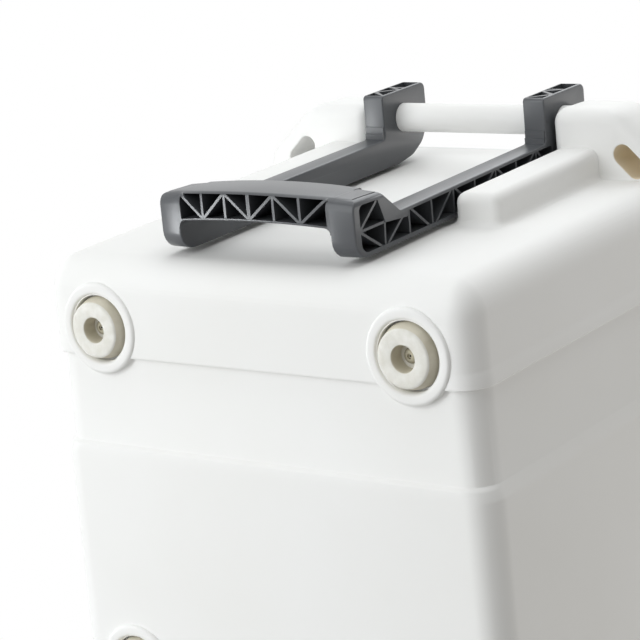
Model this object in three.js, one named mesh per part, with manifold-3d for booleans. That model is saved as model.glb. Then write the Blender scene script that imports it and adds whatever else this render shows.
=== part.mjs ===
// Wheeled cool box with a folding tow handle. Millimetres, +Z up.
// Body frame: x runs along the length (0 at the handle-end feet, + towards the handle),
// y across the width (+ towards the latches), z up from the underside of the recessed band.
// The finished group is moved so that its box stands centred on the origin.
import * as THREE from 'three';
import { mergeVertices } from 'three/addons/utils/BufferGeometryUtils.js';
import Module from 'manifold-3d';

const wasm = await Module();
wasm.setup();
const { Manifold } = wasm;

// ---------- driving dimensions ----------
const GAP = 0.3;                  // air left between pieces that seat on each other
const CUT = 20;                   // how far a cutter runs past the face it opens

// tub
const HANDLE_END = 55.5;          // handle-end wall, at the underside
const FAR_END = -585;             // wheel-end wall, at the underside
const RIM = 388.5;                // height of the rim
const END_LEAN = 2.84;            // end walls lean out by this, degrees
const SIDE_DRAFT = 0.7;           // side walls lean out with height, degrees
const SIDE_FLARE = 0.72;          // the tub widens towards the wheels, degrees
const BAND_HALF = 206.3;          // half width of the recessed band, where it meets the body
const SKIN = 4;                   // moulded wall
const FLANGE = 3.5;               // liner flange on the rim
const CORNER = 23;                // lengthwise bottom edges
const HANDLE_EDGE = 27;           // round of the handle-end edges
const FAR_EDGE = 32;              // round of the wheel-end edges

// steps around the tub
const BAND_FOOT = -96.8;          // the body starts here
const BODY_LEDGE = 12.4;          // slope from band to body on the sides
const BODY_LEDGE_UNDER = 3;       // the same on the underside
const BODY_SIDE = 4.3;            // body stands proud of the band
const BODY_UNDER = 3.3;
const CAP_LIP = -22.7;            // lower edge of the end cap
const LIP_UNDERCUT = 1;
const LIP_STRIP = 12.1;           // flared strip above the lip
const LIP_FLARE = 1.1;
const CAP_SIDE = 3.7;
const CAP_UNDER = 4.1;

// feet
const FOOT_PITCH = 289;           // between the two pairs, along the length
const FOOT_HALF = BAND_HALF - 55.9;
const FOOT_PROUD = 11.2;          // face of the foot below the band
const FOOT_R = 22.8;
const FOOT_BASE_R = 25.6;
const FOOT_HOLE_R = 10.2;
const FOOT_HOLE_DEPTH = 12.5;
const RING_OUTER_R = 37;
const RING_PROUD = 6.2;
const RING_R = 27.3;              // socket in the ring
const RING_ROUND = 3;
const SOCKET_DEPTH = 5;           // socket floor above the band
const SOCKET_BOSS = 13;
const SCREW_R = 2.6;
const SCREW_HEAD_R = 6;
const SCREW_HEAD = 3.4;
const SCREW_LENGTH = 12;

// liner
const WALL = 44;                  // outer face to cavity at the sides
const FLOOR = 38;                 // underside to cavity
const LINER_SKIN = 3;
const LINER_CORNER = 26;
const LINER_DRAFT = 1.5;
const SHELF_X = -402;             // the cavity steps up over the wheels here
const SHELF_Z = 182;

// wheels
const WHEEL_R = 78;
const WHEEL_X = -512;
const WHEEL_WIDTH = 46;
const WELL_INNER = BAND_HALF - 40.3;   // inner wall of the wheel well
const WELL_CLEARANCE = 11;
const TYRE_THICK = 20;
const TYRE_ROUND = 9;
const AXLE_R = 6;
const AXLE_RUN = 0.35;
const SLEEVE_WALL = 3;
const WASHER_R = 16;
const WASHER = 2;
const HUB_R = 17;
const HUB_WEB = 7;
const HUB_RIM = 7;
const HUB_SET = 4;                // rim in from the tyre's faces
const SPOKE = 6;
const SPOKE_SET = 8;
const WINDOW_LOW = [28, 6, 5];    // window corners: radius, half width, round
const WINDOW_HIGH = [43, 12, 3];
const SPOKES = 6;
const CAP_R = 14;
const CAP_DEPTH = 5;

// tow handle and its rod
const ROD_X = 113.5;
const ROD_Z = 324.5;
const ROD_R = 12.4;
const ROD_HALF = 139;
const ARM_INNER = 72.1;
const ARM_THICK = 19.1;
const ARM_LIFT = 3.4;             // arms off the end wall
const ARM_HEIGHT = 25.6;
const HANDLE_FRONT = 20.5;        // front of the end posts
const HANDLE_FLARE = 0.028;       // the arms spread towards the grip by this share
const HANDLE_POST_TOP = 107;
const GUSSET_PEAK = 57;
const GUSSET_FOOT = 81;
const GUSSET_LOW = 83.4;          // underside of the solid web behind the post
const GUSSET_WEB = 16;            // its reach forward of the foot
const PLATE_FRONT = 294;
const PLATE_BACK = 357;
const PLATE_TOP = 139.6;
const PLATE_DROP = 2.8;           // its front stands this much lower
const PLATE_CORNER = 6;
const PLATE_TURN = 308;           // the arm's wall side leaves the wall here
const PLATE_HEEL = 36;            // round of the plate's heel about the rod
const GRIP_LOW = 83.7;            // grip bar, along the length of the cooler
const GRIP_HIGH = 107;
const GRIP_BACK = 62;
const GRIP_END = 68.9;            // its open cells stop short of the arms
const GRIP_BOW = 7;               // the middle of the grip stands forward
const GRIP_LOW_RISE = 5.8;        // and outward
const GRIP_HIGH_RISE = 5;
const GRIP_POST = 60;             // end posts come down to here
const POST_ROUND = 12;
const FRAME_WALL = 2.6;           // flanges around the ribbed faces
const GRIP_WALL = 1.8;
const POST_WALL = 8.5;            // solid front of each post
const RIB = 2.2;
const RIB_PITCH = 31;
const ARM_WEB = 3.6;
const GRIP_WEB = 4;
const GRIP_BAYS = 6;
const GRIP_MIDDLE_RIB = 3.2;
const GRIP_EDGE = 3;              // chamfer along the grip's top front
const TRUSS_START = 60;            // first upright of the arm's truss, along the height
const TRUSS_BAY = 92;              // evenly pitched bays start here
const HUB_WALL = 4;               // plate boss around the rod

// lugs and guard bars on the handle end
const LUG_INNER = 93.5;
const LUG_FRONT = 298;
const LUG_BACK = 352;
const LUG_TOP = 127.5;
const LUG_SHOULDER = 155.3;
const LUG_FLANK = [BAND_HALF + 0.7, 82.5];   // foot of the sloping flank: half width, length
const LUG_ROUND = 10;
const SLOT_HIGH = [160.5, 91];    // slot centres: half width, length
const SLOT_LOW = [172, 80];
const SLOT_R = 8.5;
const BAR_INNER = 97;
const BAR_OUTER = 137.5;
const BAR_FRONT = 144;
const BAR_PROUD = 25.5;
const BAR_ROUND = 8;
const PLUG_LENGTH = 16;

// lid
const LID_HEIGHT = 56.5;          // above the rim
const LID_TOP = RIM + LID_HEIGHT;
const LID_GAP = 1.5;
const LID_OVERHANG = 2;
const LID_HANDLE_END = 69.5;
const LID_END_SLOPE = 0.12;       // its handle end leans in
const LID_FAR_PAST = 3;
const LID_ROUND = 18;
const LID_CORNER = 27;
const LID_PANEL = 3;
const LID_PLUG = 9;
const LID_PLUG_CLEARANCE = 6;
const GASKET_WIDTH = 8;
const GASKET_INSET = 16;
const GROOVE = 1.6;

// lid hinges
const HINGE_XS = [-120, -430];
const HINGE_OUT = 11;             // pin from the wall
const HINGE_PIN_R = 3.2;
const KNUCKLE_R = 7.5;
const KNUCKLE = 18;
const HINGE_PLATE = 4.5;
const HINGE_PLATE_NEAR = 12;
const HINGE_PLATE_FAR = 38;

// latches
const LATCH_XS = [-110, -430];
const LATCH_OUT = 9;              // pin from the lid's wall
const LATCH_PIN_Z = 28;           // above the rim
const LATCH_PIN_R = 4;
const LATCH_HALF = 29;
const LATCH_BARREL_R = 8;
const EAR = 8;
const STRAP_THICK = 6.5;
const STEM_HALF = 11;
const TBAR_NEAR = 58.5;
const TBAR_FAR = 71;
const TAB_END = 94;
const FINGER_NEAR = 44;
const FINGER_FAR = 57.3;
const FINGER_REACH = 7;
const FINGER_SLOT = 13.5;
const KEEPER_PLATE = 3;
const KEEPER_LOW = 78;
const LATCH_REST = 14;            // released, degrees out from closed

// drain, low on the hinge side
const DRAIN_X = -340;
const DRAIN_Z = 54;
const DRAIN_R = 9;
const BUSH_WALL = 3;
const BUSH_FLANGE_R = 19;
const BUSH_FLANGE = 3;
const DRAIN_GASKET_R = 15;
const DRAIN_GASKET = 2;
const PLUG_HEAD_R = 17;
const PLUG_HEAD = 11;
const PLUG_SHANK = 20;

const TAN = (degrees) => Math.tan(THREE.MathUtils.degToRad(degrees));
const FLOOR_Z = -FOOT_PROUD;      // what the cooler stands on
const FEET_X = [0, -FOOT_PITCH];
const SCREW_TOP = FLOOR_Z + FOOT_HOLE_DEPTH - SCREW_HEAD - GAP;
const SCREW_TIP = SCREW_TOP + SCREW_HEAD + SCREW_LENGTH;

// ---------- materials ----------
const finish = (name, color, roughness, metalness = 0) => {
  const material = new THREE.MeshStandardMaterial({ color, roughness, metalness });
  material.name = name;
  return material;
};
const whitePlastic = finish('white_plastic', 0xf1f1ee, 0.5);
const linerPlastic = finish('liner_plastic', 0xf3f3f1, 0.45);
const foam = finish('foam', 0xe8d9a8, 0.9);
const darkNylon = finish('dark_nylon', 0x3b3d40, 0.5);
const footRubber = finish('foot_rubber', 0xd9d5c8, 0.8);
const blackRubber = finish('black_rubber', 0x232425, 0.85);
const steel = finish('steel', 0xb9bcc0, 0.35, 1);

// ---------- solids ----------
// Points and triangles as a solid, turned to face outwards.
function fromFaces(points, faces) {
  const build = (triangles) => new Manifold(new wasm.Mesh({
    numProp: 3, vertProperties: new Float32Array(points), triVerts: new Uint32Array(triangles),
  }));
  const made = build(faces);
  if (made.volume() > 0) return made;
  const flipped = [];
  for (let i = 0; i < faces.length; i += 3) flipped.push(faces[i], faces[i + 2], faces[i + 1]);
  return build(flipped);
}

function solid(geometry) {
  const bare = geometry.clone();
  bare.deleteAttribute('normal');
  bare.deleteAttribute('uv');
  const merged = mergeVertices(bare, 1e-4);
  return fromFaces(merged.attributes.position.array, merged.index.array);
}

function piece(name, body, material) {
  const mesh = body.getMesh();
  const geometry = new THREE.BufferGeometry();
  const places = new Float32Array((mesh.vertProperties.length / mesh.numProp) * 3);
  for (let i = 0; i < places.length / 3; i += 1) {
    for (let k = 0; k < 3; k += 1) places[i * 3 + k] = mesh.vertProperties[i * mesh.numProp + k];
  }
  geometry.setAttribute('position', new THREE.BufferAttribute(places, 3));
  geometry.setIndex(new THREE.BufferAttribute(new Uint32Array(mesh.triVerts), 1));
  geometry.computeVertexNormals();
  const made = new THREE.Mesh(geometry, material);
  made.name = name;
  return made;
}

// A closed skin over rings with the same number of points; the ends are fans.
function loft(rings) {
  const points = [];
  const faces = [];
  const count = rings[0].length;
  for (const ring of rings) for (const point of ring) points.push(...point);
  for (let r = 0; r + 1 < rings.length; r += 1) {
    for (let i = 0; i < count; i += 1) {
      const a = r * count + i;
      const b = r * count + ((i + 1) % count);
      faces.push(a, b, b + count, a, b + count, a + count);
    }
  }
  const last = (rings.length - 1) * count;
  for (let i = 1; i + 1 < count; i += 1) {
    faces.push(0, i + 1, i);
    faces.push(last, last + i, last + i + 1);
  }
  return fromFaces(points, faces);
}

function block(x0, x1, y0, y1, z0, z1) {
  return solid(new THREE.BoxGeometry(x1 - x0, y1 - y0, z1 - z0)
    .translate((x0 + x1) / 2, (y0 + y1) / 2, (z0 + z1) / 2));
}

const shapeOf = (points) => new THREE.Shape(points.map(([u, v]) => new THREE.Vector2(u, v)));

// Outline in (length, height), pushed across the width from y0 to y1.
function across(outline, y0, y1, round = 0) {
  const geometry = new THREE.ExtrudeGeometry(shapeOf(outline), {
    depth: y1 - y0 - 2 * round, bevelEnabled: round > 0, bevelThickness: round,
    bevelSize: round, bevelOffset: -round, bevelSegments: 3,
  });
  geometry.translate(0, 0, round);
  geometry.applyMatrix4(new THREE.Matrix4().set(
    1, 0, 0, 0,
    0, 0, -1, y1,
    0, 1, 0, 0,
    0, 0, 0, 1,
  ));
  return solid(geometry);
}

// Outline in (length, width), pushed up from z0 to z1.
function upward(outline, z0, z1, round = 0) {
  const geometry = new THREE.ExtrudeGeometry(shapeOf(outline), {
    depth: z1 - z0 - 2 * round, bevelEnabled: round > 0, bevelThickness: round,
    bevelSize: round, bevelOffset: -round, bevelSegments: 3,
  });
  geometry.translate(0, 0, z0 + round);
  return solid(geometry);
}

// Outline in (width, height), pushed along the length from x0 to x1.
function lengthways(outline, x0, x1) {
  const geometry = new THREE.ExtrudeGeometry(shapeOf(outline), { depth: x1 - x0, bevelEnabled: false });
  geometry.applyMatrix4(new THREE.Matrix4().set(
    0, 0, 1, x0,
    1, 0, 0, 0,
    0, 1, 0, 0,
    0, 0, 0, 1,
  ));
  return solid(geometry);
}

function rodY(radius, x, z, y0, y1, sides = 32) {
  return solid(new THREE.CylinderGeometry(radius, radius, y1 - y0, sides).translate(x, (y0 + y1) / 2, z));
}
function rodX(radius, y, z, x0, x1, sides = 24) {
  return solid(new THREE.CylinderGeometry(radius, radius, x1 - x0, sides).rotateZ(Math.PI / 2)
    .translate((x0 + x1) / 2, y, z));
}
function rodZ(radius, x, y, z0, z1, sides = 24) {
  return solid(new THREE.CylinderGeometry(radius, radius, z1 - z0, sides).rotateX(Math.PI / 2)
    .translate(x, y, (z0 + z1) / 2));
}

// Profile of (radius, height) points turned about an upright line.
function turned(profile, x, y, z, sides = 24) {
  const points = profile.map(([r, h]) => new THREE.Vector2(r, h));
  return solid(new THREE.LatheGeometry(points, sides).rotateX(Math.PI / 2).translate(x, y, z));
}

function arc(cx, cy, radius, from, to, steps) {
  const points = [];
  for (let i = 0; i <= steps; i += 1) {
    const angle = THREE.MathUtils.degToRad(from + ((to - from) * i) / steps);
    points.push([cx + radius * Math.cos(angle), cy + radius * Math.sin(angle)]);
  }
  return points;
}

// ---------- tub shape ----------
// The end walls lean out: a plane at length x shifts with height.
function leanAt(x) {
  if (x >= BAND_FOOT - BODY_LEDGE) return 1;
  const run = (BAND_FOOT - BODY_LEDGE - x) / (BAND_FOOT - BODY_LEDGE - FAR_END);
  return 1 - 2 * Math.min(run, 1);
}
const leanShift = (x, z) => z * TAN(END_LEAN) * leanAt(x);
const halfAt = (x, z, proud) => BAND_HALF + (BAND_FOOT - x) * TAN(SIDE_FLARE) + z * TAN(SIDE_DRAFT) + proud;
const bodyHalf = (x, z) => halfAt(x, z, BODY_SIDE);

function sectionRing(x, side, under, corner, top) {
  const bottom = -under;
  const half = (z) => halfAt(x, z, side);
  const ring = [[half(top), top]];
  ring.push(...arc(half(bottom + corner) - corner, bottom + corner, corner, 0, -90, 6));
  ring.push(...arc(corner - half(bottom + corner), bottom + corner, corner, -90, -180, 6));
  ring.push([-half(top), top]);
  return ring.map(([y, z]) => [x + leanShift(x, z), y, z]);
}

// The tub's outside, or the same moved in by `inset` on every wall.
function tubSolid(inset, top) {
  const body = [BODY_SIDE, BODY_UNDER];
  const cap = [CAP_SIDE - LIP_FLARE, CAP_UNDER];
  const stations = [
    [BAND_FOOT - BODY_LEDGE, ...body],
    [BAND_FOOT - BODY_LEDGE_UNDER, (BODY_SIDE * BODY_LEDGE_UNDER) / BODY_LEDGE, BODY_UNDER],
    [BAND_FOOT, 0, 0],
    [CAP_LIP - LIP_UNDERCUT, 0, 0],
    [CAP_LIP, CAP_SIDE, CAP_UNDER],
    [CAP_LIP + LIP_STRIP, ...cap],
  ];
  const rings = [];
  const add = (x, side, under, corner) => {
    rings.push(sectionRing(x, side - inset, under - inset, Math.max(corner - inset, 2), top));
  };
  const farRound = Math.max(FAR_EDGE - inset, 4);
  for (const angle of [0, 20, 40, 60, 75, 90]) {
    const a = THREE.MathUtils.degToRad(angle);
    const cut = farRound * (1 - Math.sin(a));
    add(FAR_END + inset + farRound * (1 - Math.cos(a)), body[0] - cut, body[1] - cut, CORNER - cut);
  }
  for (const [x, side, under] of stations) add(x, side, under, CORNER);
  const handleRound = Math.max(HANDLE_EDGE - inset, 4);
  for (const angle of [90, 75, 60, 40, 20, 0]) {
    const a = THREE.MathUtils.degToRad(angle);
    const cut = handleRound * (1 - Math.sin(a));
    add(HANDLE_END - inset - handleRound * (1 - Math.cos(a)), cap[0] - cut, cap[1] - cut, CORNER - cut);
  }
  return loft(rings);
}

// Rounded plan outline that widens towards the wheels.
function planRing(x0, x1, proud, z, corner) {
  const far = halfAt(x0, RIM, proud);
  const near = halfAt(x1, RIM, proud);
  const ring = [
    ...arc(x1 - corner, near - corner, corner, 0, 90, 6),
    ...arc(x0 + corner, far - corner, corner, 90, 180, 6),
    ...arc(x0 + corner, corner - far, corner, 180, 270, 6),
    ...arc(x1 - corner, corner - near, corner, 270, 360, 6),
  ];
  return ring.map(([x, y]) => [x, y, z]);
}

const endAt = (z) => HANDLE_END + z * TAN(END_LEAN);          // handle-end wall at a height
const farAt = (z) => FAR_END - z * TAN(END_LEAN);

// The cavity, or the liner's outside when grown.
function cavityBlock(grow, x0, floor, top) {
  const rings = [];
  const narrow = (z) => (RIM - z) * TAN(LINER_DRAFT);
  const low = Math.max(LINER_CORNER - 10, 6);
  for (const [z, cut] of [[floor - grow, low], [floor - grow + low * 0.3, low * 0.3],
    [floor - grow + low, 0], [top, 0]]) {
    const inset = narrow(z) + cut - grow;
    rings.push(planRing(x0 + inset, endAt(RIM) - WALL - inset, BODY_SIDE - WALL - inset, z,
      LINER_CORNER));
  }
  return loft(rings);
}
function cavity(grow, top) {
  const deep = cavityBlock(grow, SHELF_X, FLOOR, top);
  const shelf = cavityBlock(grow, farAt(RIM) + WALL, SHELF_Z, top);
  return deep.add(shelf);
}

// Wheel wells, or the same grown by a skin.
const WHEEL_Z = FLOOR_Z + WHEEL_R;
function wells(grow) {
  const radius = WHEEL_R + WELL_CLEARANCE + grow;
  const made = [1, -1].map((side) => {
    const [y0, y1] = side > 0 ? [WELL_INNER - grow, BAND_HALF + CUT * 2]
      : [-BAND_HALF - CUT * 2, grow - WELL_INNER];
    return rodY(radius, WHEEL_X, WHEEL_Z, y0, y1, 28)
      .add(block(FAR_END - CUT * 2, WHEEL_X + radius, y0, y1, FLOOR_Z - CUT, WHEEL_Z));
  });
  return made[0].add(made[1]);
}

const footSpots = FEET_X.flatMap((x) => [FOOT_HALF, -FOOT_HALF].map((y) => [x, y]));
const union = (parts) => parts.reduce((sum, part) => sum.add(part));

// ---------- tub pieces ----------
function lug(side) {
  const base = HANDLE_END - SKIN;
  const outline = [
    [base, LUG_INNER], [LUG_TOP, LUG_INNER], [LUG_TOP, LUG_SHOULDER],
    [LUG_FLANK[1], LUG_FLANK[0]], [base, LUG_FLANK[0]],
  ].map(([x, y]) => [x, y * side]);
  const made = upward(side > 0 ? outline : outline.reverse(), LUG_FRONT, LUG_BACK, LUG_ROUND);
  const cutters = [...[SLOT_HIGH, SLOT_LOW].map(([y, x]) => rodZ(SLOT_R, x, y * side,
    LUG_FRONT - CUT, LUG_BACK + CUT, 24))];
  return made.subtract(Manifold.hull(cutters));
}

function guardBar(side) {
  const base = (z) => endAt(z) - SKIN;
  const outline = [
    [base(BAR_FRONT), BAR_FRONT],
    [endAt(BAR_FRONT) + BAR_PROUD, BAR_FRONT],
    [endAt(LUG_FRONT) + BAR_PROUD, LUG_FRONT + 2 * BAR_ROUND],
    [base(LUG_FRONT), LUG_FRONT + 2 * BAR_ROUND],
  ];
  const [y0, y1] = side > 0 ? [BAR_INNER, BAR_OUTER] : [-BAR_OUTER, -BAR_INNER];
  return across(outline, y0, y1, BAR_ROUND);
}

const ringProfile = [
  [0, SOCKET_DEPTH], [RING_OUTER_R, SOCKET_DEPTH], [RING_OUTER_R, RING_ROUND - RING_PROUD],
  [RING_OUTER_R - RING_ROUND * 0.3, RING_ROUND * 0.3 - RING_PROUD],
  [RING_OUTER_R - RING_ROUND, -RING_PROUD], [0, -RING_PROUD],
];

function bodyShell() {
  const outside = tubSolid(0, RIM);
  const inside = tubSolid(SKIN, RIM + CUT);
  const belowFlange = wholeLength(-RING_PROUD * 2, RIM - FLANGE - GAP);
  const rings = footSpots.map(([x, y]) => turned(ringProfile, x, y, 0, 28));
  let made = union([outside, ...rings, lug(1), lug(-1), guardBar(1), guardBar(-1)]).subtract(inside);
  const bosses = footSpots.map(([x, y]) => rodZ(RING_R + SKIN, x, y, 0, SOCKET_DEPTH + SOCKET_BOSS));
  const linings = wells(SKIN).intersect(outside);
  made = union([made, linings, ...bosses]).subtract(wells(0));
  const sockets = footSpots.map(([x, y]) => rodZ(RING_R, x, y, -CUT, SOCKET_DEPTH));
  const screwHoles = footSpots.map(([x, y]) => rodZ(SCREW_R + GAP, x, y, 0, SCREW_TIP + 1, 16));
  const rodBore = rodY(ROD_R + GAP, ROD_X, ROD_Z, -LUG_FLANK[0] - CUT, ROD_HALF + GAP);
  const axleBore = rodY(AXLE_R + GAP, WHEEL_X, WHEEL_Z, -WELL_INNER - CUT, WELL_INNER + CUT, 24);
  const drainBore = rodY(DRAIN_R + BUSH_WALL + GAP, DRAIN_X, DRAIN_Z, -BAND_HALF - CUT * 2, -BAND_HALF / 2);
  made = made.subtract(union([...sockets, ...screwHoles, rodBore, axleBore, drainBore]));
  return made.intersect(belowFlange);
}

function bodyLiner() {
  const flange = tubSolid(0, RIM).intersect(wholeLength(RIM - FLANGE, RIM));
  const drainBore = rodY(DRAIN_R + BUSH_WALL + GAP, DRAIN_X, DRAIN_Z, -BAND_HALF, -BAND_HALF / 2);
  return flange.add(cavity(LINER_SKIN, RIM)).subtract(cavity(0, RIM + CUT)).subtract(drainBore);
}

function bodyFoam() {
  const fill = tubSolid(SKIN + GAP, RIM - FLANGE - GAP);
  const bosses = footSpots.map(([x, y]) => rodZ(RING_R + SKIN + GAP, x, y, -CUT,
    SOCKET_DEPTH + SOCKET_BOSS + GAP));
  const axleHole = rodY(AXLE_R + AXLE_RUN + SLEEVE_WALL + GAP, WHEEL_X, WHEEL_Z,
    -WELL_INNER, WELL_INNER, 24);
  const drainHole = rodY(DRAIN_R + BUSH_WALL + GAP, DRAIN_X, DRAIN_Z, -BAND_HALF - CUT, -BAND_HALF / 2);
  return fill.subtract(union([cavity(LINER_SKIN + GAP, RIM + CUT), wells(SKIN + GAP), axleHole,
    drainHole, ...bosses]));
}

// ---------- feet ----------
const FOOT_HEIGHT = SOCKET_DEPTH - GAP + FOOT_PROUD;
const footProfile = [
  [SCREW_R + GAP, FOOT_HEIGHT], [FOOT_BASE_R, FOOT_HEIGHT], [FOOT_BASE_R, FOOT_HEIGHT - 5],
  [FOOT_R, 3], [FOOT_R - 0.9, 0.9], [FOOT_R - 3, 0], [FOOT_HOLE_R + 1, 0], [FOOT_HOLE_R, 1],
  [FOOT_HOLE_R, FOOT_HOLE_DEPTH], [SCREW_R + GAP, FOOT_HOLE_DEPTH],
];
const screwProfile = [
  [0, 0], [SCREW_HEAD_R * 0.6, 0], [SCREW_HEAD_R, SCREW_HEAD * 0.7], [SCREW_HEAD_R, SCREW_HEAD],
  [SCREW_R, SCREW_HEAD], [SCREW_R, SCREW_HEAD + SCREW_LENGTH - 2], [0, SCREW_HEAD + SCREW_LENGTH],
];
const closed = (profile) => [...profile, profile[0]];

// ---------- wheels ----------
function across3(profile, x, z, y, side, sides = 48) {
  const points = profile.map(([r, h]) => new THREE.Vector2(r, h * side));
  return solid(new THREE.LatheGeometry(points, sides).translate(x, y, z));
}
const WHEEL_INNER = WELL_INNER + WASHER + 2 * GAP;
const RIM_R = WHEEL_R - TYRE_THICK;
const tyreProfile = closed([
  [RIM_R, 3], [WHEEL_R - TYRE_ROUND, 0], [WHEEL_R - TYRE_ROUND * 0.3, TYRE_ROUND * 0.3],
  [WHEEL_R, TYRE_ROUND], [WHEEL_R, WHEEL_WIDTH - TYRE_ROUND],
  [WHEEL_R - TYRE_ROUND * 0.3, WHEEL_WIDTH - TYRE_ROUND * 0.3],
  [WHEEL_R - TYRE_ROUND, WHEEL_WIDTH], [RIM_R, WHEEL_WIDTH - 3],
]);
function wheelHub(side) {
  const rim = RIM_R - GAP;
  const hubProfile = closed([
    [AXLE_R + AXLE_RUN, 0], [HUB_R, 0], [HUB_R, WHEEL_WIDTH / 2 - HUB_WEB / 2],
    [rim - HUB_RIM, WHEEL_WIDTH / 2 - HUB_WEB / 2], [rim - HUB_RIM, HUB_SET], [rim, HUB_SET],
    [rim, WHEEL_WIDTH - HUB_SET], [rim - HUB_RIM, WHEEL_WIDTH - HUB_SET],
    [rim - HUB_RIM, WHEEL_WIDTH / 2 + HUB_WEB / 2], [HUB_R, WHEEL_WIDTH / 2 + HUB_WEB / 2],
    [HUB_R, WHEEL_WIDTH - CAP_DEPTH], [AXLE_R + AXLE_RUN, WHEEL_WIDTH - CAP_DEPTH],
  ]);
  let made = across3(hubProfile, 0, 0, 0, 1, 28);
  for (let i = 0; i < SPOKES; i += 1) {
    const spoke = block(HUB_R - 2, rim - HUB_RIM + 2, SPOKE_SET, WHEEL_WIDTH - SPOKE_SET, -SPOKE / 2, SPOKE / 2);
    made = made.add(spoke.rotate([0, (i * 360) / SPOKES, 0]));
  }
  const window = Manifold.hull([WINDOW_LOW, WINDOW_HIGH].flatMap(([out, half, round]) => [-1, 1].map((end) => (
    rodY(round, out, end * half, -CUT, WHEEL_WIDTH + CUT, 8)))));
  for (let i = 0; i < SPOKES; i += 1) {
    made = made.subtract(window.rotate([0, ((i + 0.5) * 360) / SPOKES, 0]));
  }
  const place = side > 0 ? made : made.mirror([0, 1, 0]);
  return place.translate([WHEEL_X, side * WHEEL_INNER, WHEEL_Z]);
}
const AXLE_END = WHEEL_INNER + WHEEL_WIDTH - CAP_DEPTH - 1;
const capProfile = [[0, 0], [CAP_R, 0], [CAP_R, 3], [CAP_R - 4, CAP_DEPTH], [0, CAP_DEPTH]];

// ---------- tow handle ----------
const armLow = (z) => endAt(z) + ARM_LIFT;
const armHigh = (z) => armLow(z) + ARM_HEIGHT;
const ARM_OUTER = ARM_INNER + ARM_THICK;
const HEEL_END = 112;             // degrees: the heel's round meets the plate's back

// Side outline in (length, height): post, gusset, arm and hinge plate.
function armOutline(inset) {
  const low = (z) => armLow(z) + inset;
  const high = (z) => armHigh(z) - inset;
  const post = POST_ROUND - inset;
  const foot = GRIP_POST + inset;
  return [
    ...arc(foot + post, HANDLE_FRONT + inset + post, post, 270, 180, 4),
    [low(HANDLE_FRONT + 3 * POST_ROUND), HANDLE_FRONT + 3 * POST_ROUND],
    [low(PLATE_TURN), PLATE_TURN],
    ...arc(ROD_X, ROD_Z, PLATE_HEEL - inset, 172, HEEL_END, 5),
    [ROD_X, PLATE_BACK - inset],
    ...arc(PLATE_TOP - PLATE_CORNER, PLATE_BACK - PLATE_CORNER, PLATE_CORNER - inset, 90, 0, 3),
    [PLATE_TOP - PLATE_DROP - inset, PLATE_FRONT + inset],
    [high(PLATE_FRONT + inset), PLATE_FRONT + inset],
    [high(GUSSET_FOOT), GUSSET_FOOT],
    [HANDLE_POST_TOP - inset, GUSSET_PEAK - inset * 0.5],
    [HANDLE_POST_TOP - inset, HANDLE_FRONT + 8],
    [HANDLE_POST_TOP - 8, HANDLE_FRONT + inset],
  ];
}

// Four corners of a thin rib between two points.
function ribOutline(a, b, thick = RIB) {
  const along = new THREE.Vector2(b[0] - a[0], b[1] - a[1]);
  const off = new THREE.Vector2(-along.y, along.x).normalize().multiplyScalar(thick / 2);
  return [
    [a[0] + off.x, a[1] + off.y], [a[0] - off.x, a[1] - off.y],
    [b[0] - off.x, b[1] - off.y], [b[0] + off.x, b[1] + off.y],
  ];
}

// The truss in the open side of an arm: uprights with a diagonal in each bay.
function trussNodes() {
  const ribs = [];
  const fan = [GUSSET_LOW - 0.6, HANDLE_FRONT + POST_WALL - 1];
  const first = [armLow(TRUSS_START), TRUSS_START];
  const corner = [GUSSET_LOW, TRUSS_START];
  for (const end of [[HANDLE_POST_TOP - 6, TRUSS_START - 6.5], corner, first]) ribs.push([fan, end]);
  ribs.push([first, corner], [first, [armHigh(TRUSS_BAY), TRUSS_BAY]]);
  for (let z = TRUSS_BAY, up = true; z < PLATE_FRONT; z += RIB_PITCH, up = !up) {
    ribs.push([[armLow(z), z], [armHigh(z), z]]);
    const next = Math.min(z + RIB_PITCH, PLATE_FRONT + 6);
    ribs.push(up ? [[armLow(next), next], [armHigh(z), z]] : [[armLow(z), z], [armHigh(next), next]]);
  }
  const back = PLATE_BACK - 4;
  const spokeEnds = [[PLATE_TOP, ROD_Z - RIB_PITCH / 2], [PLATE_TOP, ROD_Z + 9], [PLATE_TOP, back],
    [ROD_X - 6, back], [armLow(ROD_Z), ROD_Z - 3], [armHigh(PLATE_FRONT), PLATE_FRONT]];
  for (const end of spokeEnds) ribs.push([end, [ROD_X, ROD_Z]]);
  return ribs;
}

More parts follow.
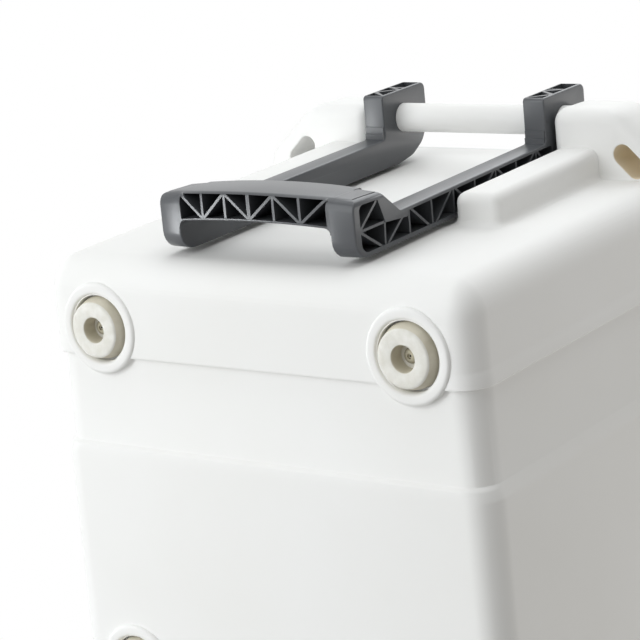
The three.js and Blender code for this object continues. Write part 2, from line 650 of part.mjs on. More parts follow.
function handleArm(side) {
  const [y0, y1] = side > 0 ? [ARM_INNER, ARM_OUTER] : [-ARM_OUTER, -ARM_INNER];
  const [p0, p1] = side > 0 ? [ARM_INNER + ARM_WEB, ARM_OUTER + CUT] : [-ARM_OUTER - CUT, -ARM_INNER - ARM_WEB];
  const [r0, r1] = side > 0 ? [ARM_INNER + ARM_WEB - 1, ARM_OUTER - 0.6]
    : [0.6 - ARM_OUTER, 1 - ARM_INNER - ARM_WEB];
  const full = across(armOutline(0), y0, y1);
  const web = across([[HANDLE_POST_TOP, TRUSS_START - GUSSET_WEB / 2], [GUSSET_LOW, TRUSS_START],
    [armHigh(TRUSS_BAY), TRUSS_BAY], [HANDLE_POST_TOP, TRUSS_BAY]].reverse(), -CUT * 5, CUT * 5);
  const postFront = block(0, PLATE_TOP, -ARM_OUTER - CUT, ARM_OUTER + CUT, 0, HANDLE_FRONT + POST_WALL);
  const pocket = across(armOutline(FRAME_WALL), p0, p1).subtract(web).subtract(postFront);
  const ribs = union(trussNodes().map(([a, b]) => across(ribOutline(a, b), r0, r1)))
    .intersect(across(armOutline(FRAME_WALL / 2), r0, r1));
  const boss = rodY(ROD_R + HUB_WALL, ROD_X, ROD_Z, y0, y1);
  const made = full.subtract(pocket).add(ribs).add(boss);
  // The post's front follows the grip's bow.
  return made.warp((point) => {
    const fade = THREE.MathUtils.clamp((TRUSS_START - point[2]) / (TRUSS_START - HANDLE_FRONT), 0, 1);
    point[2] -= GRIP_BOW * gripBow(point[1]) * fade;
  });
}

const gripBow = (y) => 1 - (y / ARM_OUTER) ** 2;

// Plan of the grip: bowed forward between the posts, its edges in by `inset`.
function gripSlab(inset, half, front, back) {
  const steps = 10;
  const rings = [];
  for (let i = 0; i <= steps; i += 1) {
    const y = -half + (2 * half * i) / steps;
    const z = HANDLE_FRONT - GRIP_BOW * gripBow(y);
    const low = GRIP_LOW + GRIP_LOW_RISE * gripBow(y) + inset;
    const high = GRIP_HIGH + GRIP_HIGH_RISE * gripBow(y) - inset;
    rings.push([
      [low, y, z + front], [high - GRIP_EDGE, y, z + front], [high, y, z + front + GRIP_EDGE],
      [high, y, back], [low, y, back],
    ]);
  }
  return loft(rings);
}

function towHandle() {
  const half = ARM_INNER + ARM_WEB;
  const pocket = gripSlab(GRIP_WALL, GRIP_END, -CUT, GRIP_BACK - GRIP_WEB);
  const ribRoom = gripSlab(1, half, 0.6, GRIP_BACK - 1);
  const pitch = (2 * GRIP_END) / GRIP_BAYS;
  let grip = gripSlab(0, half, 0, GRIP_BACK).subtract(pocket);
  for (let i = 0; i < GRIP_BAYS; i += 1) {
    const a = -GRIP_END + i * pitch;
    const [xa, xb] = i % 2 ? [GRIP_LOW, GRIP_HIGH + 5] : [GRIP_HIGH + 5, GRIP_LOW];
    const lines = [[[xa, a], [xb, a + pitch]]];
    if (i) lines.push([[GRIP_LOW - 5, a], [GRIP_HIGH + 5, a]]);
    for (const [from, to] of lines) {
      const thick = from[1] === to[1] && i === GRIP_BAYS / 2 ? GRIP_MIDDLE_RIB : RIB;
      grip = grip.add(upward(ribOutline(from, to, thick), 0, GRIP_BACK).intersect(ribRoom));
    }
  }
  const bore = rodY(ROD_R + GAP, ROD_X, ROD_Z, -ARM_OUTER - CUT, ARM_OUTER + CUT);
  const spread = (z) => 1 + HANDLE_FLARE * Math.max(0, (PLATE_FRONT - z) / (PLATE_FRONT - HANDLE_FRONT));
  return union([grip, handleArm(1), handleArm(-1)]).subtract(bore)
    .warp((point) => { point[1] *= spread(point[2]); });
}

// ---------- lid ----------
const LID_LOW = RIM + LID_GAP;
const lidEndAt = (z) => LID_HANDLE_END - (z - RIM) * LID_END_SLOPE;
function lidSolid(inset, low, high) {
  const rings = [];
  const round = LID_ROUND - inset;
  const add = (z, cut) => rings.push(planRing(farAt(RIM) - LID_FAR_PAST + inset + cut,
    lidEndAt(z) - inset - cut, BODY_SIDE + LID_OVERHANG - inset - cut, z, LID_CORNER - inset));
  if (!inset) add(low, 1.2);
  add(inset ? low : low + 1.2, 0);
  for (const angle of [0, 25, 50, 70, 90]) {
    const a = THREE.MathUtils.degToRad(angle);
    add(high - round * (1 - Math.sin(a)), round * (1 - Math.cos(a)));
  }
  return loft(rings);
}

const latchWallY = (x) => bodyHalf(x - LATCH_HALF - EAR, RIM) + LID_OVERHANG;
const latchPinY = (x) => latchWallY(x) + LATCH_OUT;
const latchPinZ = RIM + LATCH_PIN_Z;

function lidShell() {
  const ears = LATCH_XS.flatMap((x) => [-1, 1].map((end) => {
    const near = x + end * (LATCH_HALF + GAP * 2);
    const far = near + end * EAR;
    const y = latchPinY(x);
    const outline = [[latchWallY(x) - SKIN, latchPinZ - 12], ...arc(y, latchPinZ, LATCH_BARREL_R, -45, 90, 5),
      [latchWallY(x) - SKIN, latchPinZ + LATCH_BARREL_R]];
    return lengthways(outline, Math.min(near, far), Math.max(near, far));
  }));
  const pinHoles = LATCH_XS.map((x) => rodX(LATCH_PIN_R + GAP, latchPinY(x), latchPinZ,
    x - LATCH_HALF - EAR - CUT, x + LATCH_HALF + EAR + CUT, 16));
  return union([lidSolid(0, LID_LOW, LID_TOP), ...ears]).subtract(union(pinHoles))
    .subtract(lidSolid(SKIN, LID_LOW - CUT, LID_TOP - SKIN));
}

function gasketRing(width, low, high) {
  const outer = GASKET_INSET + GASKET_WIDTH / 2 - width / 2;
  const inner = outer + width;
  const ring = (inset, z0, z1) => loft([z0, z1].map((z) => planRing(farAt(RIM) + inset,
    lidEndAt(RIM) - inset, BODY_SIDE - inset, z, LID_CORNER - inset * 0.4)));
  return ring(outer, low, high).subtract(ring(inner, low - CUT, high + CUT));
}

// The lid's plug that drops into the cavity; its inside is foam.
function lidPlug(skin, top) {
  const inset = WALL + LID_PLUG_CLEARANCE + skin;
  return loft([[RIM - LID_PLUG + skin, 3], [LID_LOW, 0], [top, 0]].map(([z, cut]) => planRing(
    farAt(RIM) + inset + cut, endAt(RIM) - inset - cut, BODY_SIDE - inset - cut, z,
    LINER_CORNER - skin)));
}
const wholeLength = (low, high) => block(FAR_END * 2, LUG_TOP * 2, -BAND_HALF * 2, BAND_HALF * 2, low, high);

function lidLiner() {
  const panel = lidSolid(SKIN + GAP, LID_LOW, LID_TOP)
    .intersect(wholeLength(LID_LOW - CUT, LID_LOW + LID_PANEL));
  return panel.add(lidPlug(0, LID_LOW + LID_PANEL / 2)).subtract(lidPlug(LINER_SKIN, LID_LOW + CUT))
    .subtract(gasketRing(GASKET_WIDTH + 2 * GAP, LID_LOW - CUT, LID_LOW + GROOVE));
}

function lidFoam() {
  return lidSolid(SKIN + GAP, LID_LOW, LID_TOP - SKIN - GAP)
    .intersect(wholeLength(LID_LOW + LID_PANEL + GAP, LID_TOP))
    .add(lidPlug(LINER_SKIN + GAP, LID_LOW + CUT));
}

// ---------- lid hinges ----------
const HINGE_Y = -(bodyHalf(Math.min(...HINGE_XS), RIM) + HINGE_OUT);
const HINGE_SPAN = 3 * KNUCKLE;

function hingeSide(x, wallY, near, far, spans) {
  const made = spans.map(([x0, x1]) => Manifold.hull([
    rodX(KNUCKLE_R, HINGE_Y, RIM, x0, x1),
    block(x0, x1, wallY - HINGE_PLATE, wallY - HINGE_PLATE + 1, near, near + Math.sign(far - near)),
  ]));
  const plate = block(x - HINGE_SPAN / 2, x + HINGE_SPAN / 2, wallY - HINGE_PLATE, wallY,
    Math.min(near, far), Math.max(near, far));
  return union([plate, ...made]).subtract(rodX(HINGE_PIN_R + GAP, HINGE_Y, RIM,
    x - HINGE_SPAN, x + HINGE_SPAN, 16));
}

// ---------- latches ----------
function latchStrap(x) {
  const y = latchPinY(x);
  const z = latchPinZ;
  const half = LATCH_HALF - GAP;
  const slab = (half0, y0, y1, z0, z1) => block(x - half0, x + half0, y + y0, y + y1, z - z1, z - z0);
  const barrel = rodX(LATCH_BARREL_R, y, z, x - half, x + half);
  const upper = slab(half, 1, 1 + STRAP_THICK, 0, FINGER_NEAR - 6);
  const stem = slab(STEM_HALF, 0, STRAP_THICK + 1, 0, TBAR_FAR);
  const tbar = slab(half, -5, STRAP_THICK + 2, TBAR_NEAR, TBAR_FAR);
  const tab = slab(STEM_HALF + 6, 2, STRAP_THICK + 2, TBAR_FAR - 1, TAB_END);
  const made = union([barrel, upper, stem, tbar, tab])
    .subtract(rodX(LATCH_PIN_R + GAP, y, z, x - LATCH_HALF - CUT, x + LATCH_HALF + CUT, 16));
  return made.translate([0, -y, -z]).rotate([LATCH_REST, 0, 0]).translate([0, y, z]);
}

function latchKeeper(x) {
  const y = latchPinY(x);
  const z = latchPinZ;
  const wall = (below) => bodyHalf(x - LATCH_HALF, RIM + LATCH_PIN_Z - below) + GAP;
  const plate = lengthways([[wall(LATCH_PIN_Z + 12), z - LATCH_PIN_Z - 12], [wall(KEEPER_LOW), z - KEEPER_LOW],
    [wall(KEEPER_LOW) + KEEPER_PLATE, z - KEEPER_LOW],
    [wall(LATCH_PIN_Z + 12) + KEEPER_PLATE, z - LATCH_PIN_Z - 12]].reverse(),
  x - LATCH_HALF, x + LATCH_HALF);
  const fingers = [-1, 1].map((end) => {
    const near = x + end * FINGER_SLOT;
    const far = x + end * LATCH_HALF;
    return lengthways([[wall(FINGER_FAR) + 1, z - FINGER_FAR], [y + FINGER_REACH, z - FINGER_FAR],
      [y + FINGER_REACH - 1, z - FINGER_NEAR - 2], [y + FINGER_REACH - 4, z - FINGER_NEAR],
      [wall(FINGER_FAR) + 1, z - FINGER_NEAR + 2]], Math.min(near, far), Math.max(near, far));
  });
  return union([plate, ...fingers]);
}

// ---------- drain ----------
const drainWall = -bodyHalf(DRAIN_X - BUSH_FLANGE_R, DRAIN_Z + BUSH_FLANGE_R);
const drainInner = -(bodyHalf(DRAIN_X, DRAIN_Z) - WALL - (RIM - DRAIN_Z) * TAN(LINER_DRAFT));
const bushProfile = (length) => closed([
  [DRAIN_R, 0], [BUSH_FLANGE_R, 0], [BUSH_FLANGE_R, BUSH_FLANGE], [DRAIN_R + BUSH_WALL, BUSH_FLANGE],
  [DRAIN_R + BUSH_WALL, length], [DRAIN_R, length],
]);
const plugProfile = [
  [0, -PLUG_HEAD], [PLUG_HEAD_R - 2, -PLUG_HEAD], [PLUG_HEAD_R, 2 - PLUG_HEAD], [PLUG_HEAD_R, 0],
  [DRAIN_R - GAP, 0], [DRAIN_R - GAP, PLUG_SHANK - 2], [DRAIN_R - 2, PLUG_SHANK], [0, PLUG_SHANK],
];

// ---------- assembly ----------
const cooler = new THREE.Group();
const add = (name, body, material) => cooler.add(piece(name, body, material));

add('body_shell', bodyShell(), whitePlastic);
add('body_liner', bodyLiner(), linerPlastic);
add('body_foam', bodyFoam(), foam);

const ends = ['front', 'rear'];
const sides = [['left', 1], ['right', -1]];
footSpots.forEach(([x, y], i) => {
  const name = `${ends[Math.floor(i / 2)]}_${sides[i % 2][0]}`;
  add(`foot_${name}`, turned(closed(footProfile), x, y, FLOOR_Z), footRubber);
  add(`foot_screw_${name}`, turned(screwProfile, x, y, SCREW_TOP, 10), steel);
});

add('axle', rodY(AXLE_R, WHEEL_X, WHEEL_Z, -AXLE_END, AXLE_END, 24), steel);
add('axle_sleeve', rodY(AXLE_R + AXLE_RUN + SLEEVE_WALL, WHEEL_X, WHEEL_Z, SKIN + GAP - WELL_INNER,
  WELL_INNER - SKIN - GAP, 24).subtract(rodY(AXLE_R + AXLE_RUN, WHEEL_X, WHEEL_Z, -WELL_INNER, WELL_INNER, 24)),
darkNylon);
for (const [name, side] of sides) {
  const washer = closed([[AXLE_R + GAP, 0], [WASHER_R, 0], [WASHER_R, WASHER], [AXLE_R + GAP, WASHER]]);
  add(`wheel_washer_${name}`, across3(washer, WHEEL_X, WHEEL_Z, side * (WELL_INNER + GAP), side, 24), steel);
  add(`wheel_hub_${name}`, wheelHub(side), darkNylon);
  add(`tyre_${name}`, across3(tyreProfile, WHEEL_X, WHEEL_Z, side * WHEEL_INNER, side, 36), blackRubber);
  add(`wheel_cap_${name}`, across3(capProfile, WHEEL_X, WHEEL_Z,
    side * (WHEEL_INNER + WHEEL_WIDTH - CAP_DEPTH + GAP), side, 24), darkNylon);
}

add('tow_handle', towHandle(), darkNylon);
add('pivot_rod', rodY(ROD_R, ROD_X, ROD_Z, -ROD_HALF, ROD_HALF), whitePlastic);
add('rod_plug', rodY(ROD_R, ROD_X, ROD_Z, -ROD_HALF - GAP - PLUG_LENGTH, -ROD_HALF - GAP), whitePlastic);

add('lid_shell', lidShell(), whitePlastic);
add('lid_liner', lidLiner(), linerPlastic);
add('lid_foam', lidFoam(), foam);
add('lid_gasket', gasketRing(GASKET_WIDTH, RIM + GAP, LID_LOW + GROOVE - GAP), blackRubber);

HINGE_XS.forEach((x, i) => {
  const start = x - HINGE_SPAN / 2;
  const outerSpans = [[start, start + KNUCKLE], [start + 2 * KNUCKLE, start + 3 * KNUCKLE]];
  const innerSpan = [[start + KNUCKLE + GAP, start + 2 * KNUCKLE - GAP]];
  const bodyWall = -bodyHalf(start, RIM) - GAP;
  const lidWall = bodyWall - LID_OVERHANG;
  add(`hinge_bracket_${ends[i]}`, hingeSide(x, bodyWall, RIM - HINGE_PLATE_NEAR,
    RIM - HINGE_PLATE_FAR, outerSpans), whitePlastic);
  add(`hinge_leaf_${ends[i]}`, hingeSide(x, lidWall, RIM + HINGE_PLATE_NEAR, RIM + HINGE_PLATE_FAR,
    innerSpan), whitePlastic);
  add(`hinge_pin_${ends[i]}`, rodX(HINGE_PIN_R, HINGE_Y, RIM, start, start + HINGE_SPAN, 16), steel);
});

LATCH_XS.forEach((x, i) => {
  add(`latch_${ends[i]}`, latchStrap(x), blackRubber);
  add(`latch_pin_${ends[i]}`, rodX(LATCH_PIN_R, latchPinY(x), latchPinZ, x - LATCH_HALF - EAR,
    x + LATCH_HALF + EAR, 16), steel);
  add(`latch_keeper_${ends[i]}`, latchKeeper(x), darkNylon);
});

add('drain_bush', across3(bushProfile(drainInner - drainWall + 4), DRAIN_X, DRAIN_Z,
  drainWall - BUSH_FLANGE - GAP, 1, 28), darkNylon);
add('drain_gasket', across3(closed([[DRAIN_R, 0], [DRAIN_GASKET_R, 0], [DRAIN_GASKET_R, DRAIN_GASKET],
  [DRAIN_R, DRAIN_GASKET]]), DRAIN_X, DRAIN_Z,
drainWall - BUSH_FLANGE - 2 * GAP - DRAIN_GASKET, 1, 28), blackRubber);
add('drain_plug', across3(plugProfile, DRAIN_X, DRAIN_Z,
  drainWall - BUSH_FLANGE - 3 * GAP - DRAIN_GASKET, 1, 28), darkNylon);

// Stand the cooler on the floor, centred on the origin.
const box = new THREE.Box3().setFromObject(cooler);
cooler.position.set(-(box.min.x + box.max.x) / 2, -(box.min.y + box.max.y) / 2, -box.min.z);

export default cooler;
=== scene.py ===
import math

import bmesh
import bpy
from mathutils import Matrix, Vector


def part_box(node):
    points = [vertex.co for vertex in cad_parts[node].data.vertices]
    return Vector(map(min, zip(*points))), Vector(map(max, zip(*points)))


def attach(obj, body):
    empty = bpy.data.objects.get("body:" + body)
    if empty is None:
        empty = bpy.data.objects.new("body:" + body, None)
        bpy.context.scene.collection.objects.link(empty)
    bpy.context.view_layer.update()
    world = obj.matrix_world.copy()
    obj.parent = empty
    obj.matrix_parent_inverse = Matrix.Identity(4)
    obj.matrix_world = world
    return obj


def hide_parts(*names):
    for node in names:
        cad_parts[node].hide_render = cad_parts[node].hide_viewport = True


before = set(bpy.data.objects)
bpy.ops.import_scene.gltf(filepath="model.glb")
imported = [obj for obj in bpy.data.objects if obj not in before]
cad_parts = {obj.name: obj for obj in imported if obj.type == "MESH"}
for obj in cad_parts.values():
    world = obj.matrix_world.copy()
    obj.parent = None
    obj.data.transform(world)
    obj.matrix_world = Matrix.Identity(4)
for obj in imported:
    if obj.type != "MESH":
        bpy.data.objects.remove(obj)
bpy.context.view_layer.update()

# ---------------------------------------------------------------------------
# The tub: one rotationally moulded polyethylene shell, seamless, with soft
# edges everywhere. Shapes are in millimetres in the tub's own frame: x along
# the length from the front feet, y across, z up from the recessed band.
# ---------------------------------------------------------------------------
FOOT_PROUD = 11.2
foot_low, foot_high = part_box("foot_front_left")
other_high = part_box("foot_front_right")[1]
ORIGIN = Vector(((foot_low.x + foot_high.x) / 2,
                 (foot_low.y + other_high.y) / 2,
                 foot_low.z + FOOT_PROUD / 1000))

HANDLE_END = 55.5
FAR_END = -585.0
BODY_MIDDLE = -300.0
RIM = 388.5
END_LEAN = math.tan(math.radians(2.84))
SIDE_DRAFT = math.tan(math.radians(0.7))
SIDE_FLARE = math.tan(math.radians(0.72))
BAND_HALF = 206.3
BAND_FOOT = -96.8
SKIN = 4.0
CORNER, LEAST_CORNER = 23.0, 1.5
HANDLE_EDGE = 27.0
FAR_EDGE = 32.0
BODY_LEDGE = 12.4
BODY_SIDE, BODY_UNDER = 4.3, 3.3
CAP_SIDE, CAP_UNDER, CAP_END_SIDE = 3.7, 4.1, 2.6
CAP_LIP = -22.7
LIP_STRIP = 12.1
FLANGE = 3.5
GAP = 0.3
CLEAR = 20.0   # how far a cutter reaches past what it cuts
BOTH_SIDES = (1, -1)


def lean(x, z):
    """End walls lean out with height; the steps near the handle end lean with its wall."""
    start = BAND_FOOT - BODY_LEDGE
    run = 0.0 if x >= start else min((start - x) / (start - FAR_END), 1.0)
    return z * END_LEAN * (1 - 2 * run)


def half_width(x, z, proud=BODY_SIDE):
    return BAND_HALF + (BAND_FOOT - x) * SIDE_FLARE + z * SIDE_DRAFT + proud


def arc(cx, cy, radius, start, end, steps):
    angles = [math.radians(start + (end - start) * i / steps) for i in range(steps + 1)]
    return [(cx + radius * math.cos(a), cy + radius * math.sin(a)) for a in angles]


def quarter(radius, steps):
    """Places round a quarter turn: how far each is short of the flat, and of the side."""
    turns = [math.radians(90 * i / steps) for i in range(steps + 1)]
    return [(radius * (1 - math.sin(a)), radius * (1 - math.cos(a))) for a in turns]


def share(value):
    """A share, kept between nothing and all."""
    return max(0.0, min(1.0, value))


def new_object(name, mesh):
    piece = bpy.data.objects.new(name, mesh)
    bpy.context.scene.collection.objects.link(piece)
    return piece


def from_faces(name, points, faces, weld=0.0):
    """A mesh object with its faces turned outwards, and points closer than the weld merged."""
    mesh = bpy.data.meshes.new(name)
    mesh.from_pydata([tuple(p) for p in points], [], faces)
    shape = bmesh.new()
    shape.from_mesh(mesh)
    if weld:
        bmesh.ops.remove_doubles(shape, verts=shape.verts, dist=weld)
        bmesh.ops.dissolve_degenerate(shape, edges=shape.edges, dist=weld)
    bmesh.ops.recalc_face_normals(shape, faces=shape.faces)
    shape.to_mesh(mesh)
    shape.free()
    return new_object(name, mesh)


def loft(name, rings):
    """A closed skin over rings of equal length, flat at both ends."""
    count = len(rings[0])
    points = [p for ring in rings for p in ring]
    faces = []
    for r in range(len(rings) - 1):
        for i in range(count):
            a, b = r * count + i, r * count + (i + 1) % count
            faces.append((a, b, b + count, a + count))
    last = (len(rings) - 1) * count
    faces.append(tuple(range(count)))
    faces.append(tuple(last + i for i in range(count)))
    return from_faces(name, points, faces)


def applied(piece):
    """Turns the modifiers into plain mesh."""
    shown = piece.evaluated_get(bpy.context.evaluated_depsgraph_get())
    mesh = bpy.data.meshes.new_from_object(shown)
    piece.modifiers.clear()
    old = piece.data
    piece.data = mesh
    bpy.data.meshes.remove(old)
    return piece


def used_up(piece):
    """Removes a piece that has served its purpose."""
    mesh = piece.data
    bpy.data.objects.remove(piece)
    bpy.data.meshes.remove(mesh)


def combine(piece, other, operation):
    """Joins, cuts or meets with another solid, which is used up."""
    change = piece.modifiers.new(operation, "BOOLEAN")
    change.operation = operation
    change.solver = "MANIFOLD"
    change.object = other
    applied(piece)
    used_up(other)
    return piece


def fuse(piece, *others):
    for other in others:
        combine(piece, other, "UNION")
    return piece


def carve(piece, *others):
    for other in others:
        combine(piece, other, "DIFFERENCE")
    return piece


def rounded(piece, width, segments=3, angle=30):
    """Rounds every edge sharper than the angle."""
    edge = piece.modifiers.new("rounded", "BEVEL")
    edge.width = width
    edge.segments = segments
    edge.limit_method = "ANGLE"
    edge.angle_limit = math.radians(angle)
    edge.harden_normals = False
    return applied(piece)


AXES = {"x": Matrix(((0, 0, 1), (1, 0, 0), (0, 1, 0))),      # outline in (y, z), pushed along x
        "y": Matrix(((1, 0, 0), (0, 0, 1), (0, 1, 0))),      # outline in (x, z), pushed along y
        "z": Matrix(((1, 0, 0), (0, 1, 0), (0, 0, 1)))}      # outline in (x, y), pushed along z


def prism(name, outline, axis, low, high):
    turn = AXES[axis]
    rings = [[turn @ Vector((u, v, w)) for u, v in outline] for w in (low, high)]
    return loft(name, rings)


def soft_outline(corners, inset=0.0, steps=6):
    """A counterclockwise outline with its corners (u, v, radius) rounded, moved in by the inset."""
    points = [Vector(corner[:2]) for corner in corners]
    ways = [(points[(i + 1) % len(points)] - point).normalized() for i, point in enumerate(points)]
    line = []
    for i, point in enumerate(points):
        a, b = ways[i - 1], ways[i]
        in_a, in_b = Vector((-a.y, a.x)), Vector((-b.y, b.x))
        turn = math.atan2(a.x * b.y - a.y * b.x, a.dot(b))
        radius = max(corners[i][2] - math.copysign(inset, turn), 0.05)
        start = point + (in_a + in_b) * inset / (1 + in_a.dot(in_b)) - a * radius * math.tan(abs(turn) / 2)
        centre = start + in_a * math.copysign(radius, turn)
        for k in range(steps + 1):
            line.append(tuple(centre + Matrix.Rotation(turn * k / steps, 2) @ (start - centre)))
    return line


def rod(name, radius, axis, centre, low, high, sides=64):
    return prism(name, [(centre[0] + u, centre[1] + v) for u, v in arc(0, 0, radius, 0, 360, sides)[:-1]],
                 axis, low, high)


def turned(name, profile, axis, centre, base, direction=1, sides=96):
    """A closed profile of (radius, distance) turned about an axis."""
    turn = AXES[axis]
    count = len(profile)
    points, faces = [], []
    for s in range(sides):
        a = 2 * math.pi * s / sides
        for r, h in profile:
            local = Vector((centre[0] + r * math.cos(a), centre[1] + r * math.sin(a), base + direction * h))
            points.append(turn @ local)
        t = (s + 1) % sides
        for i in range(count):
            j = (i + 1) % count
            faces.append((s * count + i, s * count + j, t * count + j, t * count + i))
    return from_faces(name, points, faces, weld=1e-4)


def finish_piece(piece, body, material, slot, *nodes, smooth=35):
    """Scales the piece into the frame, smooths it and hangs it on its body."""
    piece.data.transform(Matrix.Translation(ORIGIN) @ Matrix.Scale(0.001, 4))
    piece.data.materials.clear()
    piece.data.materials.append(material)
    for face in piece.data.polygons:
        face.use_smooth = True
        face.material_index = 0
    piece.data.set_sharp_from_angle(angle=math.radians(smooth))
    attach(piece, body)
    if nodes:
        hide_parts(*nodes)
    return piece


def tub_ring(x, side, under, corner, top):
    """One cross-section of the tub, open side up."""
    foot = corner - under
    wide = half_width(x, foot, side) - corner
    line = [(half_width(x, top, side), top)]
    line += arc(wide, foot, corner, 0, -90, 14)
    line += arc(-wide, foot, corner, -90, -180, 14)
    line.append((-half_width(x, top, side), top))
    return [(x + lean(x, z), y, z) for y, z in line]


# Across the body ledge, soft at the sides and sharper underneath: shares of its length and of its two steps.
LEDGE_PROFILE = ((0.0, 1.0, 1.0), (0.10, 0.985, 1.0), (0.20, 0.93, 1.0), (0.72, 0.34, 1.0),
                 (0.78, 0.27, 0.93),
                 (0.86, 0.18, 0.62), (0.93, 0.10, 0.25), (0.97, 0.05, 0.06), (1.0, 0.0, 0.0))
# Along the cap's undercut lip, flared strip and crease: distance, and how proud the side and underside are.
CAP_PROFILE = ((-1.3, 0, 0), (-0.9, 0.3, 0.3), (-0.6, 1.9, 2.3), (-0.2, 3.1, 3.6),
               (0.6, CAP_SIDE, CAP_UNDER), (2.0, CAP_SIDE, CAP_UNDER), (LIP_STRIP - 3, 3.1, CAP_UNDER),
               (LIP_STRIP - 1.2, 2.75, CAP_UNDER), (LIP_STRIP, 2.4, CAP_UNDER),
               (LIP_STRIP + 1.5, 2.45, CAP_UNDER), (LIP_STRIP + 4, CAP_END_SIDE, CAP_UNDER))


def tub_solid(name, inset, top):
    """The tub's outer form, or a smaller one inside it, from the wheel end to the handle end."""
    rings = []

    def add(x, side, under, corner=CORNER):
        rings.append(tub_ring(x, side - inset, under - inset, max(corner - inset, LEAST_CORNER), top))

    for cut, along in quarter(FAR_EDGE - inset, 12):
        add(FAR_END + inset + along, BODY_SIDE - cut, BODY_UNDER - cut, CORNER - cut)
    add(BODY_MIDDLE, BODY_SIDE, BODY_UNDER)
    for along, side, under in LEDGE_PROFILE:
        add(BAND_FOOT - BODY_LEDGE + BODY_LEDGE * along, BODY_SIDE * side, BODY_UNDER * under)
    for along, side, under in CAP_PROFILE:
        add(CAP_LIP + along, side, under)
    for cut, along in reversed(quarter(HANDLE_EDGE - inset, 12)):
        add(HANDLE_END - inset - along, CAP_END_SIDE - cut, CAP_UNDER - cut, CORNER - cut)
    return loft(name, rings)


def end_at(z):
    return HANDLE_END + z * END_LEAN


def far_at(z):
    return FAR_END - z * END_LEAN


def end_skin(y, z):
    """The handle-end wall's face at a place across and up, round at its side edges."""
    over = max(0.0, abs(y) - (half_width(HANDLE_END, z, CAP_END_SIDE) - HANDLE_EDGE))
    return end_at(z) - (HANDLE_EDGE - math.sqrt(HANDLE_EDGE ** 2 - min(over, HANDLE_EDGE) ** 2))


SKIRT_SINK, SKIRT_SPREAD = 0.05, 0.02


def skirt(corners, radius):
    """A hollow-sided foot that blends a raised form into the end wall; corners are (y, z, round)."""
    rings = [[(end_skin(y, z) - SKIN / 2, y, z) for y, z in soft_outline(corners, -radius)]]
    for grow, rise in quarter(radius, 6):
        rings.append([(end_skin(y, z) + rise - SKIRT_SINK, y, z)
                      for y, z in soft_outline(corners, -grow - SKIRT_SPREAD)])
    return loft("skirt", rings)


def mirrored(corners, side):
    """The same outline on either side of the middle, kept counterclockwise."""
    return corners if side > 0 else [(-y, z, r) for y, z, r in reversed(corners)]


# Lugs that hold the rod, with a tie-down slot in each.
LUG_INNER, LUG_SHOULDER, LUG_TOP = 93.5, 155.3, 127.5
LUG_FLANK = (82.5, BAND_HALF + 0.7)
LUG_FRONT, LUG_BACK, LUG_ROUND, LUG_SKIRT = 298.0, 352.0, 12.0, 5.0
LUG_SEAT, LUG_SEAT_ROUND = BAND_HALF - 8, 4.0
SLOT_R, SLOT_HIGH, SLOT_LOW, SLOT_MOUTH = 8.5, (91.0, 160.5), (80.0, 172.0), 1.2


def slot_cutter(side):
    """The tie-down slot's hollow, with a softly rounded mouth on each face."""
    (x0, y0), (x1, y1) = SLOT_HIGH, SLOT_LOW
    tilt = math.degrees(math.atan2(y1 - y0, x1 - x0))
    places = [(LUG_FRONT - CLEAR, SLOT_MOUTH)]
    places += [(LUG_FRONT + deep, grow) for grow, deep in quarter(SLOT_MOUTH, 6)]
    places += [(LUG_FRONT + LUG_BACK - z, grow) for z, grow in reversed(places)]
    rings = []
    for z, grow in places:
        line = arc(x0, y0, SLOT_R + grow, tilt + 90, tilt + 270, 20)
        line += arc(x1, y1, SLOT_R + grow, tilt - 90, tilt + 90, 20)
        rings.append([(x, y * side, z) for x, y in line])
    return loft("slot", rings)


def lug(side):
    base = HANDLE_END - SKIN
    outline = [(base, LUG_INNER), (LUG_TOP, LUG_INNER), (LUG_TOP, LUG_SHOULDER), LUG_FLANK,
               (base, LUG_FLANK[1])]
    piece = prism("lug", [(x, y * side) for x, y in outline], "z", LUG_FRONT, LUG_BACK)
    rounded(piece, LUG_ROUND, 8, 20)
    foot = [(LUG_INNER, LUG_FRONT, LUG_ROUND), (LUG_SEAT, LUG_FRONT, LUG_SEAT_ROUND),
            (LUG_SEAT, LUG_BACK, LUG_SEAT_ROUND), (LUG_INNER, LUG_BACK, LUG_ROUND)]
    fuse(piece, skirt(mirrored(foot, side), LUG_SKIRT))
    return carve(piece, slot_cutter(side))


# Guard bars beside the handle's arms, each running up into its lug.
BAR_INNER, BAR_OUTER, BAR_FRONT, BAR_BACK = 97.0, 137.5, 144.0, LUG_FRONT + 14
BAR_PROUD, BAR_SLOPE, BAR_ROUND, BAR_BACK_ROUND, BAR_SKIRT = 25.5, 1.5, 8.5, 2.0, 5.0


def guard_bar(side):
    outline = [(end_at(BAR_FRONT) - SKIN, BAR_FRONT), (end_at(BAR_FRONT) + BAR_PROUD, BAR_FRONT + BAR_SLOPE),
               (end_at(BAR_BACK) + BAR_PROUD, BAR_BACK), (end_at(BAR_BACK) - SKIN, BAR_BACK)]
    low, high = sorted((BAR_INNER * side, BAR_OUTER * side))
    bar = rounded(prism("guard_bar", outline, "y", low, high), BAR_ROUND, 7, 20)
    foot = [(BAR_INNER, BAR_FRONT, BAR_ROUND), (BAR_OUTER, BAR_FRONT, BAR_ROUND),
            (BAR_OUTER, BAR_BACK, BAR_BACK_ROUND), (BAR_INNER, BAR_BACK, BAR_BACK_ROUND)]
    return fuse(bar, skirt(mirrored(foot, side), BAR_SKIRT))


